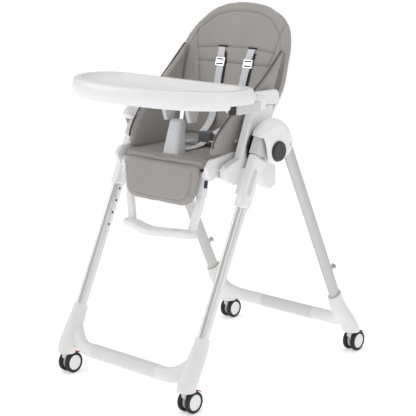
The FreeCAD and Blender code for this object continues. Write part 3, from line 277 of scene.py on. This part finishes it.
# %% Give every hard part its finish
FINISH = {
    "front_leg": front_metal, "rear_leg": rear_metal, "front_crossbar": front_bar_paint,
    "rear_crossbar": rear_bar_paint, "front_foot": foot_plastic, "rear_foot": foot_plastic,
    "leg_knuckle": grey_plastic, "hinge_housing": housing_plastic, "fold_button": button_plastic,
    "rear_frame_fittings": zinc, "carriage": white_plastic, "height_triggers": grey_plastic,
    "side_panel": white_plastic, "armrest": white_plastic, "seat_shell": white_plastic,
    "seat_cross_tube": black_steel, "crotch_post": grey_plastic, "harness_buckle": buckle_plastic,
    "backrest_shell": white_plastic, "recline_handle": grey_plastic, "calf_panel": white_plastic,
    "foot_bar_buttons": black_plastic, "foot_bar": white_plastic, "tray_insert": liner_plastic,
    "tray_bracket": bracket_plastic, "tray_release": grey_plastic, "tray": white_plastic,
    "caster_fork": grey_plastic, "caster_tyres": tyre_rubber, "caster_hubs": white_plastic,
    "brake_pedal": brake_plastic, "strap_adjusters": chrome,
}
for name, part in nodes.items():
    keys = [key for key in FINISH if name == key or name.startswith(key + "_")]
    if keys:
        finish = FINISH[max(keys, key=len)]
        for at in range(max(1, len(part.data.materials))):
            if at < len(part.data.materials):
                part.data.materials[at] = finish
            else:
                part.data.materials.append(finish)
print("finished", sum(bool(part.data.materials) for part in nodes.values()))

# %% [markdown]
# ## Leatherette
# The cover is polyurethane leatherette over foam: a woven backing with a smooth printed skin in warm
# grey. Its grain is pebbles under a millimetre wide; here they are 2.4 mm, so that they show at all.
# A slow change of tone stands for the way the skin stretches over the foam, and a light sheen lifts
# the edges.


# %% Leatherette and webbing
def leatherette(name, colour, rough=0.46):
    material, surface, place = shader(name, colour, Roughness=rough, IOR=1.46, Sheen_Weight=0.12)
    surface.inputs["Sheen Roughness"].default_value = 0.4
    tone = add(material, "ShaderNodeTexNoise", {"Vector": place}, {"Scale": 1000 / 90, "Detail": 3.0})
    shade = add(material, "ShaderNodeMix", data_type="RGBA")
    material.node_tree.links.new(tone.outputs["Fac"], shade.inputs["Factor"])
    base = linear(colour)
    shade.inputs["A"].default_value = [value * 0.93 for value in base[:3]] + [1]
    shade.inputs["B"].default_value = [min(1, value * 1.06) for value in base[:3]] + [1]
    connect(material, shade.outputs["Result"], surface, "Base Color")
    pebble = add(material, "ShaderNodeTexVoronoi", {"Vector": place}, {"Scale": 1000 / 2.4},
                 feature="SMOOTH_F1")
    fold = add(material, "ShaderNodeTexNoise", {"Vector": place}, {"Scale": 1000 / 30, "Detail": 2.0})
    height = measure(material, "ADD", measure(material, "MULTIPLY", pebble.outputs["Distance"], 0.35),
                     fold.outputs["Fac"])
    bump = add(material, "ShaderNodeBump", {"Height": height}, {"Strength": 0.18, "Distance": 0.0015})
    connect(material, bump.outputs["Normal"], surface, "Normal")
    return material


cover_leather = leatherette("warm grey leatherette", "a39e9a", 0.42)
edge_leather = leatherette("dark grey piping leatherette", "5a5653")
seam_leather = leatherette("grey seam welt leatherette", "7b7672")
thread = leatherette("grey polyester thread", "c4c0bb", 0.7)


def woven(name, colour, pitch_mm):
    """Narrow woven webbing: ribs across the strap, about 1.6 mm apart, and a thread along it."""
    material, surface, place = shader(name, colour, Roughness=0.78, Sheen_Weight=0.25)
    ribs = add(material, "ShaderNodeTexWave", {"Vector": place},
               {"Scale": 1000 / pitch_mm / 6.2832, "Distortion": 0.3},
               bands_direction="Z")
    yarn = add(material, "ShaderNodeTexWave", {"Vector": place}, {"Scale": 1000 / pitch_mm / 6.2832 * 1.4},
               bands_direction="X")
    height = measure(material, "ADD", ribs.outputs["Fac"], yarn.outputs["Fac"])
    bump = add(material, "ShaderNodeBump", {"Height": height}, {"Strength": 0.5, "Distance": 0.0008})
    connect(material, bump.outputs["Normal"], surface, "Normal")
    shade = add(material, "ShaderNodeMix", data_type="RGBA")
    material.node_tree.links.new(ribs.outputs["Fac"], shade.inputs["Factor"])
    base = linear(colour)
    shade.inputs["A"].default_value = [value * 0.86 for value in base[:3]] + [1]
    shade.inputs["B"].default_value = base
    connect(material, shade.outputs["Result"], surface, "Base Color")
    return material


webbing = woven("light grey polyester webbing", "e4e5e7", 3.2)
# This near-black webbing is painted shadow: it makes the strips laid beside the shoulder straps, for the
# shadow they cast on the back cover.
painted_strap_shadow = woven("black painted strap shadow", "1b1b1d", 3.0)

# %% [markdown]
# ## How a pad is made
# A foam pad bulges between its seams and pulls in at them. Each pad starts as its plain closed shape,
# a few millimetres small. It is remeshed to an even skin, and a short cloth simulation with air
# pressure inside swells it. How far a point may move is capped, so the pad keeps to its place.


# %% Tools for pads
def deselect():
    if bpy.context.object and bpy.context.object.mode != "OBJECT":
        bpy.ops.object.mode_set(mode="OBJECT")
    bpy.ops.object.select_all(action="DESELECT")


def choose(piece):
    deselect()
    piece.select_set(True)
    bpy.context.view_layer.objects.active = piece
    return piece


def apply_modifier(piece, kind, **settings):
    choose(piece)
    made = piece.modifiers.new("work", kind)
    for name, value in settings.items():
        setattr(made, name, value)
    bpy.ops.object.modifier_apply(modifier=made.name)


def panel(name, outline, plane, low, high):
    """A closed slab: an outline of (a, b) points, filled and pulled out from low to high.

    plane says what a and b are: "xz" is seen from the front, "yz" from the side.
    """
    deselect()
    bpy.ops.mesh.primitive_circle_add(vertices=len(outline), radius=0.1, fill_type="NGON")
    piece = bpy.context.object
    piece.name = name
    for point, (a, b) in zip(piece.data.vertices, outline):
        point.co = (a, low, b) if plane == "xz" else (low, a, b)
    bpy.ops.object.mode_set(mode="EDIT")
    bpy.ops.mesh.select_all(action="SELECT")
    reach = high - low
    way = (0, reach, 0) if plane == "xz" else (reach, 0, 0)
    bpy.ops.mesh.extrude_region_move(TRANSFORM_OT_translate={"value": way})
    bpy.ops.mesh.select_all(action="SELECT")
    bpy.ops.mesh.normals_make_consistent(inside=False)
    bpy.ops.object.mode_set(mode="OBJECT")
    return piece


def smooth_outline(points, steps=6):
    """A closed outline through the given points, with rounded runs between them."""
    made = []
    count = len(points)
    for at in range(count):
        p0, p1, p2, p3 = (Vector(points[(at + k) % count]) for k in (-1, 0, 1, 2))
        for step in range(steps):
            t = step / steps
            made.append(0.5 * (2 * p1 + (p2 - p0) * t + (2 * p0 - 5 * p1 + 4 * p2 - p3) * t ** 2
                               + (3 * p1 - p0 - 3 * p2 + p3) * t ** 3))
    return [tuple(point) for point in made]


EDGE_DRAW = 0.15


def swell(piece, voxel, cap, thin, pressure=4.0):
    """Remesh a pad, blow it up a little with cloth, and cap how far each point moved.

    thin is the axis along which the pad is thin. A swelling pad also draws its edges in; most of that
    is taken back, so that the outline keeps its place.
    """
    apply_modifier(piece, "REMESH", mode="VOXEL", voxel_size=voxel)
    before = [point.co.copy() for point in piece.data.vertices]
    choose(piece)
    cloth = piece.modifiers.new("cloth", "CLOTH")
    cloth.settings.use_pressure = True
    cloth.settings.uniform_pressure_force = pressure
    cloth.settings.effector_weights.gravity = 0
    cloth.collision_settings.use_collision = False
    for step in range(1, 21):
        bpy.context.scene.frame_set(step)
    bpy.ops.object.modifier_apply(modifier=cloth.name)
    bpy.context.scene.frame_set(1)
    for point, start in zip(piece.data.vertices, before):
        moved = point.co - start
        for axis in range(3):
            if axis != thin:
                moved[axis] *= EDGE_DRAW
        if moved.length > cap:
            moved = moved.normalized() * cap
        point.co = start + moved
    apply_modifier(piece, "SMOOTH", iterations=2)
    apply_modifier(piece, "SUBSURF", levels=1, render_levels=1)
    choose(piece)
    bpy.ops.object.shade_smooth()
    print(piece.name, "skin of", len(piece.data.polygons), "faces")
    return piece


def front_surface(piece, way):
    """Looks at a piece from outside along way, and gives the point that is met first, and its normal."""
    tree = BVHTree.FromObject(piece, bpy.context.evaluated_depsgraph_get())

    def meet(point):
        start = Vector(point) - Vector(way) * 0.6
        spot, normal, _, _ = tree.ray_cast(start, Vector(way))
        return (spot, normal) if spot else (None, None)

    return meet


def seam(piece, line, depth=0.0024, wide=0.0055):
    """Pull the skin in along a sewn line."""
    tree = KDTree(len(line))
    for at, spot in enumerate(line):
        tree.insert(spot, at)
    tree.balance()
    for point in piece.data.vertices:
        near = tree.find(point.co)[2]
        if near < wide * 2.6:
            point.co -= point.normal * depth * math.exp(-(near / wide) ** 2)


def dense(points, step=0.004):
    """The same run of points, with more between them."""
    made = []
    for first, last in zip(points, points[1:]):
        first, last = Vector(first), Vector(last)
        count = max(1, int((last - first).length / step))
        made += [first.lerp(last, at / count) for at in range(count)]
    return made + [Vector(points[-1])]


def piping(name, line, radius, finish, closed=False):
    """A thin round welt along a line of points."""
    data = bpy.data.curves.new(name, "CURVE")
    data.dimensions = "3D"
    data.bevel_depth = radius
    data.bevel_resolution = 2
    run = data.splines.new("POLY")
    run.points.add(len(line) - 1)
    for at, spot in zip(run.points, line):
        at.co = (*spot, 1)
    run.use_cyclic_u = closed
    data.use_fill_caps = not closed
    piece = bpy.data.objects.new(name, data)
    bpy.context.collection.objects.link(piece)
    choose(piece)
    bpy.ops.object.convert(target="MESH")
    piece = bpy.context.object
    bpy.ops.object.shade_smooth()
    piece.data.materials.append(finish)
    return piece


def stitches(name, line, normals, radius=0.0007, long=0.0045, gap=0.003):
    """Short thread dashes that lie on the skin along a line."""
    deselect()
    made = bpy.data.meshes.new(name)
    shape = bmesh.new()
    travelled = 0.0
    for first, last, normal in zip(line, line[1:], normals):
        travelled += (last - first).length
        if travelled < long + gap:
            continue
        travelled = 0.0
        along = (last - first).normalized()
        side = along.cross(normal).normalized()
        rise = side.cross(along).normalized()
        if rise.dot(normal) < 0:
            rise = -rise
        turn = Matrix((side, along, rise)).transposed().to_4x4()
        turn.translation = last + rise * radius * 0.4
        size = Matrix.Diagonal((radius, long / 2, radius, 1))
        bmesh.ops.create_icosphere(shape, subdivisions=1, radius=1.0, matrix=turn @ size)
    bmesh.ops.recalc_face_normals(shape, faces=shape.faces)
    shape.to_mesh(made)
    shape.free()
    piece = bpy.data.objects.new(name, made)
    bpy.context.collection.objects.link(piece)
    made.materials.append(thread)
    return piece


def dress(piece, body, finish, replaced=()):
    """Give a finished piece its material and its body."""
    if not piece.data.materials:
        piece.data.materials.append(finish)
    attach(piece, body)
    if replaced:
        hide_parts(*replaced)
    return piece


# %% [markdown]
# ## The back cover
# The back is a tall dished pad with bolsters at its sides. It takes the space of the foam solid, so
# its shape starts from a copy of that solid, shrunk a little before it is swollen. Then the seams are
# sewn in: one near the edge all round, one down the inside of each bolster and two across.

# %% Back cover
RECLINE = Vector((0.0, 0.026, 0.632))
BACK_LEAN = math.radians(16.5)


def copied(node_name, name, shrink):
    """A merged copy of a part's skin, moved in along its normals."""
    deselect()
    piece = nodes[node_name].copy()
    piece.data = nodes[node_name].data.copy()
    piece.name = name
    piece.parent = None
    bpy.context.collection.objects.link(piece)
    piece.hide_render = False
    piece.data.materials.clear()
    for key in list(piece.keys()):
        del piece[key]
    choose(piece)
    bpy.ops.object.mode_set(mode="EDIT")
    bpy.ops.mesh.select_all(action="SELECT")
    bpy.ops.mesh.remove_doubles(threshold=0.00005)
    bpy.ops.mesh.normals_make_consistent(inside=False)
    bpy.ops.object.mode_set(mode="OBJECT")
    apply_modifier(piece, "REMESH", mode="VOXEL", voxel_size=0.004)
    apply_modifier(piece, "DISPLACE", strength=-shrink, mid_level=0.0)
    return piece


back_cover = swell(copied("backrest_pad", "back_cover", 0.002), 0.005, 0.007, 1)
low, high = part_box("backrest_pad")
print("back pad", [round(v, 3) for v in low], [round(v, 3) for v in high])

# %% Sew the back cover's seams
meet_back = front_surface(back_cover, (0, 1, 0))
CENTRE = (0.0, 0.84)


def reaches_of(piece, step):
    """How far a piece reaches from CENTRE, seen from the front, for each step of a turn in degrees."""
    reach = {}
    for point in piece.data.vertices:
        a, b = point.co.x - CENTRE[0], point.co.z - CENTRE[1]
        key = round(math.degrees(math.atan2(b, a)) / step) % (360 // step)
        reach[key] = max(reach.get(key, 0.0), math.hypot(a, b))
    return reach


def on_back(pairs, proud=0.0):
    """Points on the front of the back pad, and their normals, for (x, z) pairs."""
    spots, normals = [], []
    for x, z in pairs:
        spot, normal = meet_back((x, 0, z))
        if spot:
            spots.append(spot + normal * proud)
            normals.append(normal)
    return spots, normals


STEP = 3
BORDER_INSET = 0.024
reach = reaches_of(back_cover, STEP)
border = []
for at in range(-12, 73):
    turn = math.radians(at * STEP)
    away = reach[at % (360 // STEP)] - BORDER_INSET
    border.append((CENTRE[0] + away * math.cos(turn), CENTRE[1] + away * math.sin(turn)))
INNER = [(0.158, 0.985), (0.150, 0.930), (0.134, 0.872), (0.121, 0.815), (0.114, 0.760), (0.112, 0.690)]
border = [tuple(p[:2]) for p in dense([(x, z, 0) for x, z in border])]
inner_right = [tuple(p[:2]) for p in dense([(x, z, 0) for x, z in INNER])]
inner_left = [(-x, z) for x, z in inner_right]
across_slots = [(x / 100, 0.906 - 0.00004 * x * x) for x in range(-14, 15)]
across_slots = [tuple(p[:2]) for p in dense([(x, z, 0) for x, z in across_slots])]
across_low = [tuple(p[:2]) for p in dense([(-0.131, 0.862, 0), (0.131, 0.862, 0)])]
back_lines = [on_back(line) for line in (border, inner_right, inner_left, across_slots, across_low)]
for spots, _ in back_lines:
    seam(back_cover, spots)
meet_back = front_surface(back_cover, (0, 1, 0))
dress(back_cover, "backrest", cover_leather, ["backrest_pad"])

# %% [markdown]
# ## Welts and stitches on the back
# A sewn seam shows as a dark groove with a welt in it, and a row of thread beside it. The welt is a
# thin tube that lies in the groove. The stitches are short dashes of thread on the skin.

# %% Welts and stitches
back_trim = []
for at, line in enumerate((border, inner_right, inner_left, across_slots, across_low)):
    spots, _ = on_back(line, -0.0002)
    back_trim.append(piping(f"back_welt_{at}", spots, 0.0009, seam_leather))
offset_border = [(x * 0.965, CENTRE[1] + (z - CENTRE[1]) * 0.965) for x, z in border]
spots, normals = on_back(offset_border)
back_trim.append(stitches("back_border_stitches", spots, normals))
for sign, line in ((1, inner_right), (-1, inner_left)):
    spots, normals = on_back([(x + sign * 0.007, z) for x, z in line])
    back_trim.append(stitches(f"back_bolster_stitches_{'right' if sign > 0 else 'left'}", spots, normals))
spots, normals = on_back([(x, z - 0.007) for x, z in across_slots])
back_trim.append(stitches("back_cross_stitches", spots, normals))
for piece in back_trim:
    dress(piece, "backrest", seam_leather)
print("trim pieces on the back", len(back_trim))

# %% [markdown]
# ## The seat cushion
# The cushion is a thin foam pad that fills the pan from wing to wing. Its front rolls over the edge
# of the pan and meets the leg rest's pad at a sewn line. It is drawn as a slab seen from the side,
# pulled across the seat, and swollen.

# %% Seat cushion
SEAT_HALF = 0.1605
TAPER_FROM = -0.165
slab = [(-0.2050, 0.6185), (-0.2060, 0.6255), (-0.1990, 0.6320), (-0.1850, 0.6340), (TAPER_FROM, 0.6340),
        (-0.0200, 0.6340), (-0.0085, 0.6280), (-0.0085, 0.6180), (TAPER_FROM, 0.6180), (-0.1830, 0.6180),
        (-0.1850, 0.6135), (-0.2010, 0.6135)]
seat_cover = panel("seat_cover", slab, "yz", -SEAT_HALF, SEAT_HALF)
for point in seat_cover.data.vertices:
    point.co.x *= 1 - 0.12 * max(0.0, TAPER_FROM - point.co.y) / 0.041
seat_cover = swell(seat_cover, 0.004, 0.0035, 2)
meet_seat = front_surface(seat_cover, (0, 0, -1))


def on_seat(pairs, proud=0.0):
    spots, normals = [], []
    for x, y in pairs:
        spot, normal = meet_seat((x, y, 0.63))
        if spot:
            spots.append(spot + normal * proud)
            normals.append(normal)
    return spots, normals


front_line = [tuple(p[:2]) for p in dense([(-0.136, -0.1925, 0), (0, -0.1965, 0), (0.136, -0.1925, 0)])]
side_line = [tuple(p[:2]) for p in dense([(0.126, -0.190, 0), (0.140, -0.12, 0), (0.138, -0.02, 0)])]
for line in (front_line, side_line, [(-x, y) for x, y in side_line]):
    seam(seat_cover, on_seat(line)[0], 0.0018, 0.005)
meet_seat = front_surface(seat_cover, (0, 0, -1))
dress(seat_cover, "seat", cover_leather, ["seat_pad"])
seat_trim = []
for at, line in enumerate((front_line, side_line, [(-x, y) for x, y in side_line])):
    spots, normals = on_seat(line, -0.0002)
    seat_trim.append(piping(f"seat_welt_{at}", spots, 0.0008, seam_leather))
    beside = [(x * 0.95, y) for x, y in line] if at else [(x, y + 0.006) for x, y in line]
    spots, normals = on_seat(beside)
    seat_trim.append(stitches(f"seat_stitches_{at}", spots, normals))
for piece in seat_trim:
    dress(piece, "seat", seam_leather)

# %% [markdown]
# ## Side wings
# At each side the cover rises from the cushion as a soft wall and runs up to join the back's bolster.
# It spans the recline hinge and is one fixed piece, tied to neither the seat nor the back. A dark
# piped edge runs along its top.

# %% Side wings
WING = [(-0.166, 0.640), (-0.176, 0.668), (-0.163, 0.700), (-0.128, 0.740), (-0.088, 0.777), (-0.041, 0.808),
        (0.002, 0.842), (0.044, 0.880), (0.078, 0.910), (0.084, 0.900), (0.071, 0.866), (0.054, 0.806),
        (0.038, 0.740), (0.022, 0.690), (0.006, 0.636), (-0.080, 0.630)]
WING_IN, WING_OUT = 0.1475, 0.1605


def flare(height):
    """How far the wing leans out at a height: it clears the pan below and meets the bolster above."""
    rise = min(1.0, max(0.0, (height - 0.665) / 0.20))
    return 0.024 * rise * rise * (3 - 2 * rise)


wing_edge = [Vector(p) for p in dense([(0, y, z) for y, z in smooth_outline(WING, 4)[4:33]], 0.004)]
for sign, side_name in ((1, "right"), (-1, "left")):
    inner, outer = sorted((sign * WING_IN, sign * WING_OUT))
    wing = panel(f"side_wing_{side_name}", smooth_outline(WING, 5), "yz", inner, outer)
    apply_modifier(wing, "REMESH", mode="VOXEL", voxel_size=0.004)
    for point in wing.data.vertices:
        point.co.x += sign * flare(point.co.z)
    wing = swell(wing, 0.0045, 0.004, 0)
    wing.data.materials.append(cover_leather)
    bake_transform(wing)
    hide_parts("seat_pad")
    edge_line = [Vector((sign * (WING_OUT - 0.003 + flare(p.z)), p.y, p.z)) for p in wing_edge]
    welt = piping(f"wing_piping_{side_name}", edge_line, 0.0024, edge_leather)
    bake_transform(welt)
    print("wing", side_name, len(wing.data.polygons))

# %% [markdown]
# ## The calf pad
# The leg rest's pad hangs from the front of the seat. It narrows slightly downwards and has round
# lower corners. Its top edge is sewn to the seat, and the pad is one fixed piece.

# %% Calf pad
CALF_HALF = [(0.139, 0.6235), (0.138, 0.590), (0.134, 0.560), (0.128, 0.536), (0.112, 0.517), (0.088, 0.5105),
             (0.040, 0.5085)]
LEG_LEAN = 0.158
calf_shape = CALF_HALF + [(-x, z) for x, z in reversed(CALF_HALF)]
calf = panel("calf_cover", [(x, z) for x, z in calf_shape], "xz", -0.0165, -0.0005)
apply_modifier(calf, "REMESH", mode="VOXEL", voxel_size=0.004)
for point in calf.data.vertices:
    point.co.y += -0.1985 - (0.6007 - point.co.z) * LEG_LEAN
calf = swell(calf, 0.0045, 0.005, 1)
meet_calf = front_surface(calf, (0, 1, 0))


def on_calf(pairs, proud=0.0):
    spots, normals = [], []
    for x, z in pairs:
        spot, normal = meet_calf((x, 0, z))
        if spot:
            spots.append(spot + normal * proud)
            normals.append(normal)
    return spots, normals


calf_line = [(x * 0.875, 0.566 + (z - 0.566) * 0.72) for x, z in CALF_HALF[1:]]
calf_line = calf_line + [(-x, z) for x, z in reversed(calf_line)]
calf_line = [(calf_line[0][0], 0.606)] + calf_line + [(calf_line[-1][0], 0.606)]
calf_line = [tuple(p[:2]) for p in dense([(x, z, 0) for x, z in calf_line])]
seam(calf, on_calf(calf_line)[0], 0.0018, 0.0045)
meet_calf = front_surface(calf, (0, 1, 0))
calf.data.materials.append(cover_leather)
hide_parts("calf_pad")
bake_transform(calf)
spots, normals = on_calf(calf_line, -0.0002)
calf_welt = piping("calf_welt", spots, 0.0007, seam_leather)
spots, normals = on_calf([(x * 0.955, 0.566 + (z - 0.566) * 0.93) for x, z in calf_line])
calf_thread = stitches("calf_stitches", spots, normals)
for piece in (calf_welt, calf_thread):
    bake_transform(piece)

# %% [markdown]
# ## Harness
# Two shoulder straps come out of slots in the back, pass through metal adjusters and run down to the
# buckle, with lap straps at the sides. Webbing is flat and stiff across, so each strap is a ribbon:
# a grid pulled along its path, given 1.8 mm of thickness. A strip of the cover closes the gap between
# the cushion and the back in the same way, as one fixed piece.


# %% Straps
def ribbon(name, path, wide, thick, finish, across=(1, 0, 0)):
    """A flat strap along a path, as wide as its webbing and with slightly rounded edges."""
    deselect()
    bpy.ops.mesh.primitive_grid_add(x_subdivisions=3, y_subdivisions=len(path) - 1, size=1)
    piece = bpy.context.object
    piece.name = name
    rows = {}
    for point in piece.data.vertices:
        rows.setdefault(round(point.co.y, 5), []).append(point)
    for row, spot in zip(sorted(rows), path):
        for point in rows[row]:
            point.co = Vector(spot) + Vector(across) * point.co.x * wide
    apply_modifier(piece, "SOLIDIFY", thickness=thick, offset=0.0)
    apply_modifier(piece, "BEVEL", width=thick * 0.3, segments=2, limit_method="ANGLE",
                   angle_limit=math.radians(50))
    choose(piece)
    bpy.ops.object.mode_set(mode="EDIT")
    bpy.ops.mesh.select_all(action="SELECT")
    bpy.ops.mesh.normals_make_consistent(inside=False)
    bpy.ops.object.mode_set(mode="OBJECT")
    bpy.ops.object.shade_smooth_by_angle(angle=math.radians(40))
    piece.data.materials.append(finish)
    return piece


def eased(points, steps=8):
    """A smooth run through a few points."""
    made = []
    last = len(points) - 1
    for at in range(last):
        p0, p1, p2, p3 = (Vector(points[min(last, max(0, at + k))]) for k in (-1, 0, 1, 2))
        for step in range(steps):
            t = step / steps
            made.append(0.5 * (2 * p1 + (p2 - p0) * t + (2 * p0 - 5 * p1 + 4 * p2 - p3) * t ** 2
                               + (3 * p1 - p0 - 3 * p2 + p3) * t ** 3))
    return made + [Vector(points[-1])]


buckle_low, buckle_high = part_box("harness_buckle")
for sign, side_name in ((1, "right"), (-1, "left")):
    heights = [0.9035, 0.880, 0.861, 0.835, 0.800, 0.760, 0.722]
    places = [0.0560, 0.0525, 0.0500, 0.0485, 0.0465, 0.0440, 0.0410]
    run = []
    for x, z in zip(places, heights):
        spot, normal = meet_back((sign * x, 0, z))
        run.append(spot + Vector((0, -1, 0)) * 0.0042)
    run += [Vector((sign * 0.034, 0.018, 0.694)), Vector((sign * 0.020, buckle_high.y - 0.006, 0.6745))]
    strap = ribbon(f"shoulder_strap_{side_name}", eased(run), 0.0250, 0.0018, webbing)
    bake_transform(strap)
    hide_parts("shoulder_straps")
    # Painted shadow: a dark strip laid 6 mm to the right of each shoulder strap, the same way on both sides,
    # for the strap's shadow on the cover.
    backing = [meet_back((sign * x + 0.006, 0, z))[0] + Vector((0, -1, 0)) * 0.0018
               for x, z in zip(places[:6], [0.892, 0.880, 0.861, 0.835, 0.800, 0.765])]
    pad = ribbon(f"strap_shadow_strip_{side_name}", eased(backing), 0.0265, 0.0026, painted_strap_shadow)
    dress(pad, "backrest", painted_strap_shadow)
    lap = eased([(sign * 0.1455, -0.020, 0.6415), (sign * 0.110, -0.022, 0.6425),
                 (sign * 0.060, -0.026, 0.6475), (sign * 0.020, -0.030, 0.6560)])
    lap_strap = ribbon(f"lap_strap_{side_name}", lap, 0.0240, 0.0018, webbing, across=(0, 1, 0))
    dress(lap_strap, "seat", webbing, ["lap_harness"])
gusset = eased([(0, -0.018, 0.6290), (0, 0.004, 0.6395), (0, 0.020, 0.6480), (0, 0.040, 0.6640)], 5)
back_gusset = ribbon("back_gusset", gusset, 0.285, 0.0024, cover_leather)
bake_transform(back_gusset)
crotch = eased([(0, -0.128, 0.6420), (0, -0.100, 0.6410), (0, -0.060, 0.6440), (0, -0.036, 0.6520)])
crotch_strap = ribbon("crotch_strap", crotch, 0.0240, 0.0018, webbing)
dress(crotch_strap, "seat", webbing, ["lap_harness"])


# %% Slots, adjusters and studs
def back_place(x, y, z):
    """A point given in the back's own upright frame, turned to where the back leans."""
    return Vector((
        x,
        RECLINE.y + y * math.cos(BACK_LEAN) + z * math.sin(BACK_LEAN),
        RECLINE.z - y * math.sin(BACK_LEAN) + z * math.cos(BACK_LEAN),
    ))


def block(name, size, centre, finish, turn=0.0, edge=0.0008):
    """A small moulded block with rounded edges, leaning back by turn."""
    deselect()
    bpy.ops.mesh.primitive_cube_add(size=1)
    piece = bpy.context.object
    piece.name = name
    matrix = Matrix.Translation(centre) @ Matrix.Rotation(-turn, 4, "X") @ Matrix.Diagonal((*size, 1))
    piece.data.transform(matrix)
    apply_modifier(piece, "BEVEL", width=edge, segments=3)
    choose(piece)
    bpy.ops.object.shade_smooth_by_angle(angle=math.radians(40))
    piece.data.materials.append(finish)
    return piece


small = []
for sign, side_name in ((1, "right"), (-1, "left")):
    # Painted shade: a black block in each strap slot stands for the dark inside of the slot.
    spot, _ = meet_back((sign * 0.056, 0, 0.9065))
    small.append(block(f"strap_slot_{side_name}", (0.034, 0.004, 0.0045), spot + Vector((0, -0.0005, 0)),
                       black_plastic, BACK_LEAN, 0.0012))
    for at, height in enumerate((0.2325, 0.2460)):
        small.append(block(f"adjuster_window_{side_name}_{at}", (0.0255, 0.0012, 0.0042),
                           back_place(sign * 0.052, -0.0091, height), black_plastic, BACK_LEAN, 0.0004))
for piece in small:
    dress(piece, "backrest", black_plastic)


def domed_disc(name, radius, height, matrix, finish, rings=4):
    """A shallow dome, such as a press stud or a screw head, shaped by insets."""
    deselect()
    bpy.ops.mesh.primitive_cylinder_add(vertices=32, radius=radius, depth=height)
    piece = bpy.context.object
    piece.name = name
    bpy.ops.object.mode_set(mode="EDIT")
    work = bmesh.from_edit_mesh(piece.data)
    for face in work.faces:
        face.select = face.normal.z > 0.9
    bmesh.update_edit_mesh(piece.data)
    for at in range(rings):
        bpy.ops.mesh.inset(thickness=radius / (rings + 1.5))
        bpy.ops.transform.translate(value=(0, 0, height * 0.5 * (1 - at / rings)))
    bpy.ops.mesh.select_all(action="SELECT")
    bpy.ops.object.mode_set(mode="OBJECT")
    piece.data.transform(matrix)
    apply_modifier(piece, "BEVEL", width=height * 0.15, segments=2, limit_method="ANGLE",
                   angle_limit=math.radians(50))
    choose(piece)
    bpy.ops.object.shade_smooth_by_angle(angle=math.radians(50))
    piece.data.materials.append(finish)
    return piece


for sign, side_name in ((1, "right"), (-1, "left")):
    sideways = Matrix.Rotation(sign * math.pi / 2, 4, "Y")
    at = Matrix.Translation((sign * (WING_OUT + 0.0050), -0.089, 0.679))
    stud = domed_disc(f"wing_stud_{side_name}", 0.0065, 0.0022, at @ sideways, chrome)
    dress(stud, "seat", chrome)
print("small parts", len(small) + 2)

# %% [markdown]
# ## Finish
# The scene is set back to its first frame.

# %% The end
bpy.context.scene.frame_set(1)
